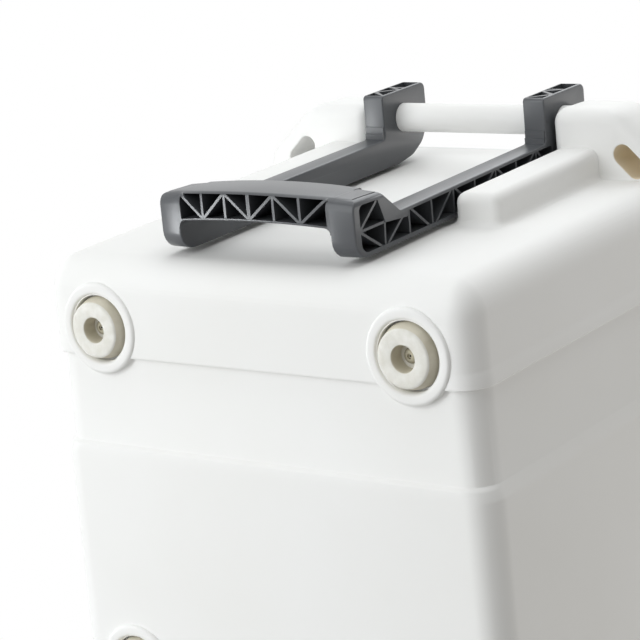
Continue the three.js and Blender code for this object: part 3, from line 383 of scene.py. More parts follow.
WHEEL_R, WHEEL_X, WHEEL_WIDTH = 78.0, -512.0, 46.0
WHEEL_Z = WHEEL_R - FOOT_PROUD
WELL_INNER, WELL_CLEARANCE, WELL_LOW = BAND_HALF - 40.3, 11.0, -60.0
ROD_X, ROD_Z, ROD_R, ROD_HALF = 113.5, 324.5, 12.4, 139.0
FOOT_PITCH, FOOT_HALF = 289.0, BAND_HALF - 55.9
RING_R, SOCKET_DEPTH = 27.3, 5.0
FOOT_SPOTS = {"front_left": (0, FOOT_HALF), "front_right": (0, -FOOT_HALF),
              "rear_left": (-FOOT_PITCH, FOOT_HALF), "rear_right": (-FOOT_PITCH, -FOOT_HALF)}


def well(side, grow):
    """Wheel arch: round over the wheel, straight down to the floor."""
    radius = WHEEL_R + WELL_CLEARANCE + grow
    outline = [(WHEEL_X + radius, WELL_LOW)] + arc(WHEEL_X, WHEEL_Z, radius, 0, 180, 48)
    outline.append((WHEEL_X - radius, WELL_LOW))
    low, high = sorted(((WELL_INNER - grow) * side, (BAND_HALF + 2 * CLEAR) * side))
    return prism("well", outline, "y", low, high)


def level_slab(low, high):
    """A block wider than the tub, between two heights."""
    return prism("slab", [(-900, -400), (400, -400), (400, 400), (-900, 400)], "z", low, high)


# A soft raised ring round the socket of each foot: a hollow skirt, a round crown and a worn inner lip.
RING_OUTER_R, RING_PROUD, RING_ROUND, RING_SKIRT, RING_SKIRT_RISE = 37.4, 6.2, 3.4, 3.2, 0.85
RING_LIP = ((3.2, 0), (2.1, 0.3), (1.2, 1.1), (0.5, 2.6), (0, 4.4))
BOSS_DEPTH = 13.0
ring_line = [(0, SOCKET_DEPTH), (RING_OUTER_R + RING_SKIRT, SOCKET_DEPTH)]
ring_line += [(RING_OUTER_R + out - 0.1, -0.04 - RING_SKIRT_RISE * rise)
              for out, rise in quarter(RING_SKIRT, 6)[:-1]]
ring_line += arc(RING_OUTER_R - RING_ROUND, RING_ROUND - RING_PROUD, RING_ROUND, -10, -90, 8)
ring_line += [(RING_R + out, down - RING_PROUD) for out, down in RING_LIP]
ring_line.append((0, RING_LIP[-1][1] - RING_PROUD))

tub = tub_solid("tub", 0, RIM)
for side in BOTH_SIDES:
    fuse(tub, lug(side), guard_bar(side))
inside = tub_solid("inside", SKIN, RIM + CLEAR)
carve(inside, *[well(side, SKIN) for side in BOTH_SIDES])
for spot in FOOT_SPOTS.values():
    fuse(tub, turned("ring", ring_line, "z", spot, 0))
    carve(inside, rod("boss", RING_R + SKIN, "z", spot, -CLEAR, SOCKET_DEPTH + BOSS_DEPTH))
carve(tub, inside, *[well(side, 0) for side in BOTH_SIDES])
carve(tub, *[rod("socket", RING_R, "z", spot, -CLEAR, SOCKET_DEPTH) for spot in FOOT_SPOTS.values()])
carve(tub, rod("rod_bore", ROD_R + GAP, "y", (ROD_X, ROD_Z), -BAND_HALF - 2 * CLEAR, ROD_HALF + GAP),
      level_slab(RIM - FLANGE - GAP, RIM + 3 * CLEAR))

# Milky white polyethylene: faint cloudiness, a fine orange-peel surface and
# slightly duller, warmer patches.
SHADER = "Principled BSDF"


def new_node(tree, kind, values=None, operation=None):
    """Adds a node, with values for its inputs and its operation where it has one."""
    node = tree.nodes.new(kind)
    if operation:
        node.operation = operation
    for name, value in (values or {}).items():
        node.inputs[name].default_value = value
    return node


def wire(tree, *links):
    """Links sockets, each pair given as (node, output, node, input)."""
    for source, leaving, target, entering in links:
        tree.links.new(source.outputs[leaving], target.inputs[entering])


def new_sockets(tree, inputs, outputs):
    for way, sockets in (("INPUT", inputs), ("OUTPUT", outputs)):
        for name, kind in sockets.items():
            tree.interface.new_socket(name, in_out=way, socket_type="NodeSocket" + kind)


def moulded_surface():
    """Shared effect: cloudy colour, patchy roughness and a fine moulded texture."""
    group = bpy.data.node_groups.new("moulded_surface", "ShaderNodeTree")
    new_sockets(group, {"Light": "Color", "Dark": "Color", "Smooth": "Float", "Rough": "Float",
                        "Cloud Scale": "Float", "Grain Scale": "Float"},
                {"Color": "Color", "Roughness": "Float", "Height": "Float"})
    enter, leave = new_node(group, "NodeGroupInput"), new_node(group, "NodeGroupOutput")
    place = new_node(group, "ShaderNodeTexCoord")
    clouds = new_node(group, "ShaderNodeTexNoise", {"Detail": 4})
    spread = new_node(group, "ShaderNodeMapRange", {"From Min": 0.3, "From Max": 0.7})
    mix = new_node(group, "ShaderNodeMix")
    mix.data_type = "RGBA"
    patch = new_node(group, "ShaderNodeMapRange")
    grain = new_node(group, "ShaderNodeTexNoise", {"Detail": 3})
    wire(group,
         (place, "Object", clouds, "Vector"),
         (enter, "Cloud Scale", clouds, "Scale"),
         (clouds, "Fac", spread, "Value"),
         (spread, "Result", mix, "Factor"),
         (enter, "Light", mix, 6),
         (enter, "Dark", mix, 7),
         (mix, 2, leave, "Color"),
         (clouds, "Fac", patch, "Value"),
         (enter, "Smooth", patch, "To Min"),
         (enter, "Rough", patch, "To Max"),
         (patch, "Result", leave, "Roughness"),
         (place, "Object", grain, "Vector"),
         (enter, "Grain Scale", grain, "Scale"),
         (grain, "Fac", leave, "Height"))
    return group


MOULDED = moulded_surface()


def moulded(name, light, dark, smooth, rough, cloud=6.0, grain=900.0, bump=0.08, depth=0.0004, shine=0.5):
    """A moulded plastic or rubber."""
    material = bpy.data.materials.new(name)
    material.use_nodes = True
    tree = material.node_tree
    shader = tree.nodes[SHADER]
    shader.inputs["Specular IOR Level"].default_value = shine
    surface = tree.nodes.new("ShaderNodeGroup")
    surface.node_tree = MOULDED
    for socket, value in (("Light", (*light, 1)), ("Dark", (*dark, 1)), ("Smooth", smooth), ("Rough", rough),
                          ("Cloud Scale", cloud), ("Grain Scale", grain)):
        surface.inputs[socket].default_value = value
    relief = new_node(tree, "ShaderNodeBump", {"Strength": bump, "Distance": depth})
    wire(tree,
         (surface, "Color", shader, "Base Color"),
         (surface, "Roughness", shader, "Roughness"),
         (surface, "Height", relief, "Height"),
         (relief, "Normal", shader, "Normal"))
    return material


white = moulded("white_polyethylene", (0.87, 0.868, 0.858), (0.85, 0.846, 0.828), 0.52, 0.66, shine=0.15)
# A cream copy of the white: painted shade for the walls of one lug's slot.
slot_painted_shade = moulded("polyethylene_with_painted_shade_in_slot", (0.84, 0.75, 0.585), (0.8, 0.705, 0.54), 0.52, 0.66,
                      shine=0.15)
finish_piece(tub, "tub", white, "white_plastic", "body_shell")
# The slot's walls on the latch side are painted a cream shade: painted shade for the little light that comes
# through the thick lug there.
tub.data.materials.append(slot_painted_shade)
slot_start, slot_run = Vector(SLOT_HIGH), Vector(SLOT_LOW) - Vector(SLOT_HIGH)
for face in tub.data.polygons:
    spot = (face.center - ORIGIN) * 1000
    way = spot.xy - slot_start
    off = way - slot_run * share(way.dot(slot_run) / slot_run.length_squared)
    if LUG_FRONT < spot.z < LUG_BACK and off.length < SLOT_R + 0.2:
        face.material_index = 1

# ---------------------------------------------------------------------------
# Feet: four soft cream rubber pucks, each dished for a screw and held by it
# in its socket. The rubber is slightly mottled.
# ---------------------------------------------------------------------------
FOOT_R, FOOT_BASE_R, FOOT_HOLE_R, FOOT_HOLE_DEPTH = 22.8, 25.6, 10.2, 12.5
SCREW_R, SCREW_HEAD_R, SCREW_HEAD, SCREW_LENGTH = 2.6, 6.0, 3.4, 12.0
foot_height = FOOT_PROUD + SOCKET_DEPTH - GAP
foot_line = [(SCREW_R + GAP, foot_height), (FOOT_BASE_R, foot_height), (FOOT_BASE_R, foot_height - 5.5),
             (FOOT_BASE_R - 0.3, foot_height - 6.5), (FOOT_R + 0.3, 2.4), (FOOT_R - 0.1, 1.2),
             (FOOT_R - 0.9, 0.35), (FOOT_R - 2.2, 0), (FOOT_HOLE_R + 1.1, 0), (FOOT_HOLE_R + 0.5, 0.2),
             (FOOT_HOLE_R + 0.1, 0.8), (FOOT_HOLE_R - 0.1, 2), (FOOT_HOLE_R - 0.4, FOOT_HOLE_DEPTH),
             (SCREW_R + GAP, FOOT_HOLE_DEPTH)]
screw_base = FOOT_HOLE_DEPTH - SCREW_HEAD - GAP
screw_line = [(0, 1.2), (1.6, 1.2), (2.1, 0.1), (3.4, 0), (5.2, 0.8), (SCREW_HEAD_R, 2.2),
              (SCREW_HEAD_R, SCREW_HEAD), (SCREW_R, SCREW_HEAD), (SCREW_R, SCREW_HEAD + SCREW_LENGTH - 2),
              (0.4, SCREW_HEAD + SCREW_LENGTH)]
cream = moulded("cream_rubber", (0.8, 0.79, 0.745), (0.69, 0.675, 0.61), 0.5, 0.72, cloud=110.0, grain=700.0,
                bump=0.12)
# A darker, warmer copy of the cream rubber: painted shade for the feet's sides and holes.
cream_painted_shade = moulded("rubber_with_painted_shade", (0.7, 0.66, 0.55), (0.58, 0.54, 0.43), 0.55, 0.75, cloud=70.0,
                       grain=700.0, bump=0.12)
FACE_TILT = 0.6   # a foot's sides and hole are the faces that point less than this towards the floor; they take the painted shade


def metal(name, color, low, high):
    """Plain metal with a patchy roughness."""
    material = bpy.data.materials.new(name)
    material.use_nodes = True
    tree = material.node_tree
    shader = tree.nodes[SHADER]
    shader.inputs["Base Color"].default_value = (*color, 1)
    shader.inputs["Metallic"].default_value = 1
    place = new_node(tree, "ShaderNodeTexCoord")
    wear = new_node(tree, "ShaderNodeTexNoise", {"Scale": 400, "Detail": 4})
    span = new_node(tree, "ShaderNodeMapRange", {"To Min": low, "To Max": high})
    relief = new_node(tree, "ShaderNodeBump", {"Strength": 0.1, "Distance": 0.0002})
    wire(tree,
         (place, "Object", wear, "Vector"),
         (wear, "Fac", span, "Value"),
         (span, "Result", shader, "Roughness"),
         (wear, "Fac", relief, "Height"),
         (relief, "Normal", shader, "Normal"))
    return material


steel = metal("stainless_steel", (0.62, 0.63, 0.64), 0.22, 0.42)
# The foot screws' steel is darkened and warmed to the tone of the holes they sit in: painted shade.
screw_painted_shade_steel = metal("screw_steel_with_painted_shade", (0.36, 0.335, 0.26), 0.6, 0.8)
for name, spot in FOOT_SPOTS.items():
    foot = turned("foot", foot_line, "z", spot, -FOOT_PROUD)
    finish_piece(foot, "tub", cream, "foot_rubber", "foot_" + name)
    foot.data.materials.append(cream_painted_shade)
    for face in foot.data.polygons:
        # The sides and the hole get the painted shade.
        face.material_index = int(abs(face.normal.z) < FACE_TILT)
    screw = turned("foot_screw", screw_line, "z", spot, screw_base - FOOT_PROUD, sides=32)
    finish_piece(screw, "tub", screw_painted_shade_steel, "steel", "foot_screw_" + name)

# ---------------------------------------------------------------------------
# Liner: a smooth white inner box with soft corners and a step over the
# wheels, its flange closing the rim. Foam fills the walls behind it.
# ---------------------------------------------------------------------------
WALL, FLOOR, LINER_SKIN, LINER_CORNER, LINER_FOOT = 44.0, 38.0, 3.0, 26.0, 10.0
LINER_DRAFT = math.tan(math.radians(1.5))
SHELF_X, SHELF_Z = -402.0, 182.0
DRAIN_X, DRAIN_Z, DRAIN_R, BUSH_WALL = -340.0, 54.0, 9.0, 3.0


def plan_ring(x0, x1, proud, z, corner, steps=12):
    """A rounded outline seen from above, wider towards the wheels."""
    far, near = half_width(x0, RIM, proud), half_width(x1, RIM, proud)
    ring = arc(x1 - corner, near - corner, corner, 0, 90, steps)
    ring += arc(x0 + corner, far - corner, corner, 90, 180, steps)
    ring += arc(x0 + corner, corner - far, corner, 180, 270, steps)
    ring += arc(x1 - corner, corner - near, corner, 270, 360, steps)
    return [(x, y, z) for x, y in ring]


def cavity_block(grow, x0, base, top):
    rings = []
    levels = [(base - grow + rise, cut) for rise, cut in reversed(quarter(LINER_CORNER - LINER_FOOT, 6))]
    for z, cut in levels + [(top, 0)]:
        inset = (RIM - z) * LINER_DRAFT + cut - grow
        rings.append(plan_ring(x0 + inset, end_at(RIM) - WALL - inset, BODY_SIDE - WALL - inset, z,
                               LINER_CORNER))
    return loft("cavity", rings)


def cavity(grow, top):
    """The room inside: deep at the handle end, and shallower over the wheels."""
    return fuse(cavity_block(grow, SHELF_X, FLOOR, top), cavity_block(grow, far_at(RIM) + WALL, SHELF_Z, top))


liner = combine(tub_solid("liner", 0, RIM), level_slab(RIM - FLANGE, RIM + 10), "INTERSECT")
fuse(liner, cavity(LINER_SKIN, RIM - 0.5))
carve(liner, cavity(0, RIM + CLEAR),
      rod("drain_hole", DRAIN_R + BUSH_WALL + GAP, "y", (DRAIN_X, DRAIN_Z), -BAND_HALF, -BAND_HALF / 2))
liner_white = moulded("liner_polyethylene", (0.8, 0.805, 0.8), (0.77, 0.775, 0.765), 0.3, 0.42, cloud=5.0,
                      grain=500.0, bump=0.05)
finish_piece(liner, "tub", liner_white, "liner_plastic", "body_liner")

foam_yellow = moulded("polyurethane_foam", (0.76, 0.66, 0.38), (0.66, 0.55, 0.29), 0.85, 0.95, cloud=40.0,
                      grain=300.0, bump=0.6, depth=0.001)


def paint_node(name, material):
    """Gives a finish to a solid that is shown as it is."""
    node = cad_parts[name]
    node.data.materials.clear()
    node.data.materials.append(material)


for name in ("body_foam", "lid_foam"):
    paint_node(name, foam_yellow)

# ---------------------------------------------------------------------------
# Tow handle: one moulding in dark glass-filled nylon, hollowed from its outer
# side and stiffened with thin zigzag ribs. It swings on the rod at its plates.
# ---------------------------------------------------------------------------
ARM_INNER, ARM_THICK, ARM_LIFT, ARM_HEIGHT = 71.1, 20.5, 3.4, 25.6
ARM_OUTER = ARM_INNER + ARM_THICK
HANDLE_FRONT, HANDLE_FLARE, HANDLE_SIDES, POST_ROUND = 20.5, 0.028, 1.3, 9.0
POST_TOP, GUSSET_PEAK, GUSSET_FOOT, GUSSET_LOW = 107.0, 57.0, 81.0, 83.4
PLATE_FRONT, PLATE_BACK, PLATE_TOP, PLATE_DROP = 294.0, 358.8, 139.6, 2.8
PLATE_HEEL = [(103, PLATE_BACK, 15), (88, 349.5, 20), (78.7, 334, 20), (74.4, 312, 30)]
GRIP_LOW, GRIP_HIGH, GRIP_BACK, GRIP_BOW, GRIP_END = 83.7, 107.0, 62.0, 7.0, 68.9
GRIP_LOW_RISE, GRIP_HIGH_RISE, GRIP_WALL, GRIP_FILLET = 5.8, 5.0, 1.7, 5.0
GRIP_POST, FRAME_WALL, RIB, RIB_PITCH = 61.2, 2.6, 2.1, 31.0
ARM_WEB, GRIP_WEB, GRIP_BAYS = 3.6, 4.0, 6
TRUSS_START, TRUSS_BAY = 60.0, 92.0
POST_FRONT_WALL, POST_TOP_WALL, POST_FOOT_WALL = 7.2, 4.5, 4.5
GRIP_CROWN, GRIP_SLICES = 4.0, 32
# Shallow ledges where the plate's front meets the arm: height of each, and how far it stands forward.
PLATE_LEDGES = ((110.0, 1.0), (104.0, 2.0), (98.5, 3.2))


def arm_low(z):
    return end_at(z) + ARM_LIFT


def arm_high(z):
    return arm_low(z) + ARM_HEIGHT


def bow(y):
    return 1 - (y / ARM_OUTER) ** 2


def arm_outline(inset):
    """Side view of post, gusset, arm and hinge plate."""
    return soft_outline([
        (GRIP_POST, HANDLE_FRONT, 15), (POST_TOP, HANDLE_FRONT, POST_ROUND), (POST_TOP, GUSSET_PEAK, 6),
        (arm_high(GUSSET_FOOT), GUSSET_FOOT, 6), (arm_high(PLATE_FRONT), PLATE_FRONT, 4),
        (PLATE_TOP - PLATE_DROP, PLATE_FRONT, 3.5), (PLATE_TOP, PLATE_BACK, 6)] + PLATE_HEEL, inset)


def pocket_outline():
    """The open side of post and arm, around the solid gusset behind the post."""
    front, top, end = HANDLE_FRONT + POST_FRONT_WALL, POST_TOP - POST_TOP_WALL, PLATE_FRONT + 8
    return soft_outline([
        (GRIP_POST + POST_FOOT_WALL, front, 8), (top, front, 5), (top, TRUSS_START - 8, 1.5),
        (GUSSET_LOW, TRUSS_START, 1), (GUSSET_LOW - 1.6, TRUSS_BAY - 3, 1),
        (arm_high(TRUSS_BAY) - FRAME_WALL, TRUSS_BAY, 1), (arm_high(end) - FRAME_WALL, end, 2),
        (arm_low(end) + FRAME_WALL, end, 2)])


def rib_outline(a, b, width=RIB):
    along = Vector((b[0] - a[0], b[1] - a[1]))
    off = Vector((-along.y, along.x)).normalized() * width / 2
    return [(a[0] + off.x, a[1] + off.y), (a[0] - off.x, a[1] - off.y), (b[0] - off.x, b[1] - off.y),
            (b[0] + off.x, b[1] + off.y)]


def truss_lines():
    """Centre lines of the ribs in one arm's open side, in (x, z)."""
    fan = (GUSSET_LOW - 0.6, HANDLE_FRONT + POST_FRONT_WALL - 0.5)
    peak = (POST_TOP - POST_TOP_WALL, TRUSS_START - 7.5)
    corner = (GUSSET_LOW + 0.5, TRUSS_START)
    low = (arm_low(TRUSS_START) + 2, TRUSS_START - 1.5)
    lines = [(fan, peak), (fan, corner), (fan, low), (low, corner), (low, (arm_high(TRUSS_BAY), TRUSS_BAY))]
    z, up = TRUSS_BAY, True
    while z < PLATE_FRONT:
        lines.append(((arm_low(z), z), (arm_high(z), z)))
        after = min(z + RIB_PITCH, PLATE_FRONT + 6)
        low_end, high_end = (after, z) if up else (z, after)
        lines.append(((arm_low(low_end), low_end), (arm_high(high_end), high_end)))
        z, up = z + RIB_PITCH, not up
    return lines


def round_sided(name, outline, inner, outer, radius):
    """An outline pushed across the width with its edges rounded on both sides."""
    ways = quarter(radius, 4)
    places = [(inner + along, inset) for along, inset in reversed(ways)]
    places += [(outer - along, inset) for along, inset in ways]
    return loft(name, [[(x, y, z) for x, z in outline(inset)] for y, inset in places])


def bowed(piece):
    """Brings the posts forward and up with the grip's bow, which fades out behind them."""
    for place in piece.data.vertices:
        fade = share((TRUSS_START - place.co.z) / (TRUSS_START - HANDLE_FRONT))
        lift = share((place.co.x - GRIP_LOW) / (POST_TOP - POST_ROUND - GRIP_LOW))
        lift *= share((GUSSET_FOOT - place.co.z) / (GUSSET_FOOT - GUSSET_PEAK))
        place.co.x += GRIP_HIGH_RISE * bow(place.co.y) * lift
        place.co.z -= GRIP_BOW * bow(place.co.y) * fade
    return piece


def across(side, inner, outer):
    return sorted((inner * side, outer * side))


def grip_bar(inset, half, front, back, fillet=0.0, soft=1.0):
    """The bowed bar between the posts, in slices across the width."""
    straight = ARM_INNER - GRIP_FILLET
    ends = [straight + GRIP_FILLET * math.sin(math.radians(15 * i)) for i in range(1, 7)]
    ends = [y for y in ends if y < half] + [ARM_INNER + 0.1] * (half > ARM_INNER) + [half]
    middle = [straight * (2 * i / GRIP_SLICES - 1) for i in range(GRIP_SLICES + 1)]
    rings = []
    for y in [-y for y in reversed(ends)] + middle + ends:
        over = share((abs(y) - straight) / GRIP_FILLET)
        low = GRIP_LOW + GRIP_LOW_RISE * bow(y) + inset - fillet * (1 - math.sqrt(1 - over ** 2))
        high = GRIP_HIGH + GRIP_HIGH_RISE * bow(y) - inset
        z = HANDLE_FRONT - GRIP_BOW * bow(y) + front
        crown = GRIP_CROWN + (POST_ROUND - GRIP_CROWN) * min(1.0, abs(y) / ARM_INNER) ** 4
        behind = back if abs(y) <= ARM_INNER else GUSSET_PEAK - 4
        outline = soft_outline([(low, z, soft), (high, z, crown * soft), (high, behind, 2.5 * soft),
                                (low, behind, 2.5 * soft)], steps=5)
        rings.append([(x, y, z) for x, z in outline])
    return loft("grip", rings)


def grip_ribs():
    """Upright and slanting ribs in the grip's open front."""
    pitch = 2 * GRIP_END / GRIP_BAYS
    ribs = []
    for i in range(GRIP_BAYS):
        a, b = -GRIP_END + i * pitch, -GRIP_END + (i + 1) * pitch
        high, low = (a, b) if i % 2 == 0 else (b, a)
        roof = GRIP_HIGH + GRIP_HIGH_RISE * bow(high) - GRIP_WALL + 0.6
        base = GRIP_LOW + GRIP_LOW_RISE * bow(low) + GRIP_WALL - 0.6
        ribs.append(((roof, high), (base, low), RIB))
        if i:
            ribs.append(((GRIP_LOW - 5, a), (GRIP_HIGH + 5, a), 3.2 if i == GRIP_BAYS / 2 else RIB))
    made = fuse(*[prism("rib", rib_outline(*rib), "z", 0, GRIP_BACK) for rib in ribs])
    return combine(made, grip_bar(1, GRIP_END + 1, 0.7, GRIP_BACK - 1, soft=0.4), "INTERSECT")


def arm_ribs(side):
    depth = across(side, ARM_INNER + ARM_WEB - 1, ARM_OUTER - 0.7)
    made = fuse(*[prism("rib", rib_outline(a, b), "y", *depth) for a, b in truss_lines()])
    return bowed(combine(made, prism("trim", arm_outline(FRAME_WALL / 2), "y", *depth), "INTERSECT"))


def plate_cells(side):
    """Cells that open upwards along the top of the hinge plate."""
    inner, outer = ARM_INNER + 2.4, ARM_OUTER - 2.4
    first, last, cross = PLATE_FRONT + 3, PLATE_BACK - 5, PLATE_FRONT + 36
    cells = [[(inner, first), (outer, first), (outer, first + 11)],
             [(inner, first + 2.5), (outer - 2, first + 14.5), (inner, first + 24)],
             [(outer, first + 17), (outer, cross), (inner + 2, first + 26)],
             [(inner, first + 28), (inner, cross), (outer - 6, cross)],
             [(inner, cross + 2.2), (outer, cross + 2.2), (outer, last), (inner, last)]]
    return fuse(*[loft("cell", [[(x, y * side, z) for y, z in cell] for x in (PLATE_TOP - 10, PLATE_TOP + 5)])
                  for cell in cells])


def top_corner(side):
    """What is cut away to round the outer top edge of a post."""
    high, wide, round_off = POST_TOP + 2, ARM_OUTER + 2, 5
    outline = arc(ARM_OUTER - round_off, POST_TOP - round_off, round_off, 0, 90, 6)
    outline += [(ARM_OUTER - round_off, high), (wide, high), (wide, POST_TOP - round_off)]
    return loft("corner", [[(x, y * side, z) for y, x in outline] for z in (0, GUSSET_PEAK + CLEAR)])


handle = grip_bar(0, ARM_INNER + 2.5, 0.06, GRIP_BACK, GRIP_FILLET)
for side in BOTH_SIDES:
    arm = round_sided("arm", arm_outline, *across(side, ARM_INNER, ARM_OUTER), HANDLE_SIDES)
    fuse(handle, bowed(arm))
    low, back = arm_low(PLATE_FRONT) + 6, PLATE_FRONT + 4
    for x, proud in PLATE_LEDGES:
        ledge = [(low, PLATE_FRONT - proud), (x, PLATE_FRONT - proud), (x + proud, back), (low, back)]
        fuse(handle, prism("ledge", ledge, "y", *across(side, ARM_INNER + 1, ARM_OUTER - 1)))
    hollow = prism("pocket", pocket_outline(), "y", *across(side, ARM_INNER + ARM_WEB, ARM_OUTER + 5))
    carve(handle, bowed(hollow), top_corner(side), plate_cells(side))
    fuse(handle, arm_ribs(side))
carve(handle, grip_bar(GRIP_WALL, GRIP_END, -CLEAR, GRIP_BACK - GRIP_WEB, soft=0.4))
fuse(handle, grip_ribs())
carve(handle, rod("bore", ROD_R + GAP, "y", (ROD_X, ROD_Z), -ARM_OUTER - CLEAR, ARM_OUTER + CLEAR))
# The arms spread a little towards the grip.
for place in handle.data.vertices:
    place.co.y *= 1 + HANDLE_FLARE * max(0.0, (PLATE_FRONT - place.co.z) / (PLATE_FRONT - HANDLE_FRONT))
nylon = moulded("dark_nylon", (0.074, 0.078, 0.085), (0.062, 0.066, 0.072), 0.25, 0.35, cloud=12.0,
                grain=1400.0, bump=0.1, depth=0.0003)
finish_piece(handle, "handle", nylon, "dark_nylon", "tow_handle")

# ---------------------------------------------------------------------------
# Rod: a white polymer bar through both lugs and the handle's plates, with a
# plug pressed in behind it in the blind side's bore.
# ---------------------------------------------------------------------------
PLUG_LENGTH = 16.0
pivot = rounded(rod("rod", ROD_R, "y", (ROD_X, ROD_Z), -ROD_HALF, ROD_HALF, 96), 1.2, 3)
finish_piece(pivot, "tub", white, "white_plastic", "pivot_rod")
stopper = rod("plug", ROD_R, "y", (ROD_X, ROD_Z), -ROD_HALF - GAP - PLUG_LENGTH, -ROD_HALF - GAP, 96)
finish_piece(rounded(stopper, 1.2, 3), "tub", white, "white_plastic", "rod_plug")

# ---------------------------------------------------------------------------
# Lid: a moulded white cover over foam, with a shallow tray on top, a liner
# plug that drops into the box, and a rubber gasket seated in a groove.
# ---------------------------------------------------------------------------
LID_TOP, LID_GAP, LID_OVERHANG, LID_HANDLE_END, LID_END_SLOPE = 445.0, 1.5, 2.0, 69.5, 0.12
LID_FAR_PAST, LID_ROUND, LID_CORNER, LID_PANEL, LID_PLUG = 3.0, 18.0, 27.0, 3.0, 9.0
LID_PLUG_CLEARANCE, GASKET_WIDTH, GASKET_INSET, GROOVE = 6.0, 8.0, 16.0, 1.6
LID_LOW = RIM + LID_GAP
LATCH_XS, LATCH_OUT, LATCH_PIN_Z, LATCH_PIN_R = (-110.0, -430.0), 9.0, RIM + 28.0, 4.0
LATCH_HALF, LATCH_BARREL_R, EAR = 29.0, 8.0, 8.0
# The tray's soft edge, from the top's rounded rim inwards: (how far in, how far down).
TRAY_EDGE = ((12, 0), (13.5, 0.25), (15, 0.9), (16.5, 1.8), (18, 2.6), (19.5, 2.9), (22, 3.0))
# The rounded lip at the foot of the lid's skirt: (how far up, how far in).
LID_LIP = ((0, 1.6), (0.5, 0.5), (1.6, 0))


def lid_solid(inset, low, high, tray=False):
    """The lid's outline, or with an inset its hollow."""
    rings = []
    curve = LID_ROUND - inset

    def add(z, cut):
        corner = max(LID_CORNER - inset - cut * 0.3, 6)
        rings.append(plan_ring(far_at(RIM) - LID_FAR_PAST + inset + cut,
                               LID_HANDLE_END - (z - RIM) * LID_END_SLOPE - inset - cut,
                               BODY_SIDE + LID_OVERHANG - inset - cut, z, corner))

    for rise, cut in ((0, 0),) if inset else LID_LIP:
        add(low + rise, cut)
    for down, cut in quarter(curve, 10):
        add(high - down, cut)
    if tray:
        for along, down in TRAY_EDGE:
            add(high - down, curve + along)
    return loft("lid", rings)


def latch_pin_y(x):
    return half_width(x - LATCH_HALF - EAR, RIM) + LID_OVERHANG + LATCH_OUT


lid = lid_solid(0, LID_LOW, LID_TOP, True)
for x in LATCH_XS:
    y = latch_pin_y(x)
    for end in (-1, 1):
        near = x + end * (LATCH_HALF + 0.6)
        line = [(y - LATCH_OUT - SKIN, LATCH_PIN_Z - 12)] + arc(y, LATCH_PIN_Z, LATCH_BARREL_R, -45, 90, 16)
        line.append((y - LATCH_OUT - SKIN, LATCH_PIN_Z + LATCH_BARREL_R))
        ear = prism("ear", line, "x", *sorted((near, near + end * EAR)))
        fuse(lid, rounded(ear, 1.2, 3, 40))
carve(lid, lid_solid(SKIN, LID_LOW - CLEAR, LID_TOP - SKIN))
for x in LATCH_XS:
    reach, place = LATCH_HALF + EAR + 5, (latch_pin_y(x), LATCH_PIN_Z)
    carve(lid, rod("pin_hole", LATCH_PIN_R + GAP, "x", place, x - reach, x + reach, 32))
finish_piece(lid, "lid", white, "white_plastic", "lid_shell")


def gasket_ring(width, low, high):
    outer = GASKET_INSET + GASKET_WIDTH / 2 - width / 2

    def ring(inset, z0, z1):
        rings = [plan_ring(far_at(RIM) + inset, LID_HANDLE_END - inset, BODY_SIDE - inset, z,
                           LID_CORNER - inset * 0.4) for z in (z0, z1)]
        return loft("ring", rings)

    return carve(ring(outer, low, high), ring(outer + width, low - CLEAR, high + CLEAR))


def lid_plug(skin, top):
    """The part of the lid's liner that drops into the box."""
    inset, base = WALL + LID_PLUG_CLEARANCE + skin, RIM - LID_PLUG + skin
    levels = [(base, 3), (base + 0.9, 0.9), (base + 3, 0), (top, 0)]
    rings = [plan_ring(far_at(RIM) + inset + cut, end_at(RIM) - inset - cut, BODY_SIDE - inset - cut, z,
                       LINER_CORNER - skin) for z, cut in levels]
    return loft("lid_plug", rings)


lid_liner = combine(lid_solid(SKIN + GAP, LID_LOW, LID_TOP), level_slab(LID_LOW - CLEAR, LID_LOW + LID_PANEL),
                    "INTERSECT")
fuse(lid_liner, lid_plug(0, LID_LOW + LID_PANEL / 2))
carve(lid_liner, lid_plug(LINER_SKIN, LID_LOW + CLEAR),
      gasket_ring(GASKET_WIDTH + 2 * GAP, LID_LOW - CLEAR, LID_LOW + GROOVE))
finish_piece(lid_liner, "lid", liner_white, "liner_plastic", "lid_liner")

black_rubber = moulded("black_rubber", (0.022, 0.023, 0.024), (0.03, 0.03, 0.031), 0.62, 0.78, cloud=16.0,
                       grain=900.0, bump=0.2)
seal = rounded(gasket_ring(GASKET_WIDTH, RIM + GAP, LID_LOW + GROOVE - GAP), 0.7, 3, 40)
finish_piece(seal, "lid", black_rubber, "black_rubber", "lid_gasket")

# ---------------------------------------------------------------------------
# Lid hinges: two white moulded leaves each, with three knuckles on a steel
# pin. The leaves are screwed to the tub and to the lid along one long side.
# ---------------------------------------------------------------------------
HINGES = {"front": -120.0, "rear": -430.0}
HINGE_OUT, HINGE_PIN_R, KNUCKLE_R, KNUCKLE = 11.0, 3.2, 7.5, 18.0
HINGE_PLATE, PLATE_NEAR, PLATE_FAR = 4.5, 12.0, 38.0
hinge_y = -(half_width(min(HINGES.values()), RIM) + HINGE_OUT)


def hull(points):
    """Convex outline of points in a plane."""
    points = sorted(set(points))
    sides = []
    for run in (points, points[::-1]):
        line = []
        for p in run:
            while len(line) > 1 and (line[-1][0] - line[-2][0]) * (p[1] - line[-2][1]) <= \
                    (line[-1][1] - line[-2][1]) * (p[0] - line[-2][0]):
                line.pop()
            line.append(p)
        sides += line[:-1]
    return sides


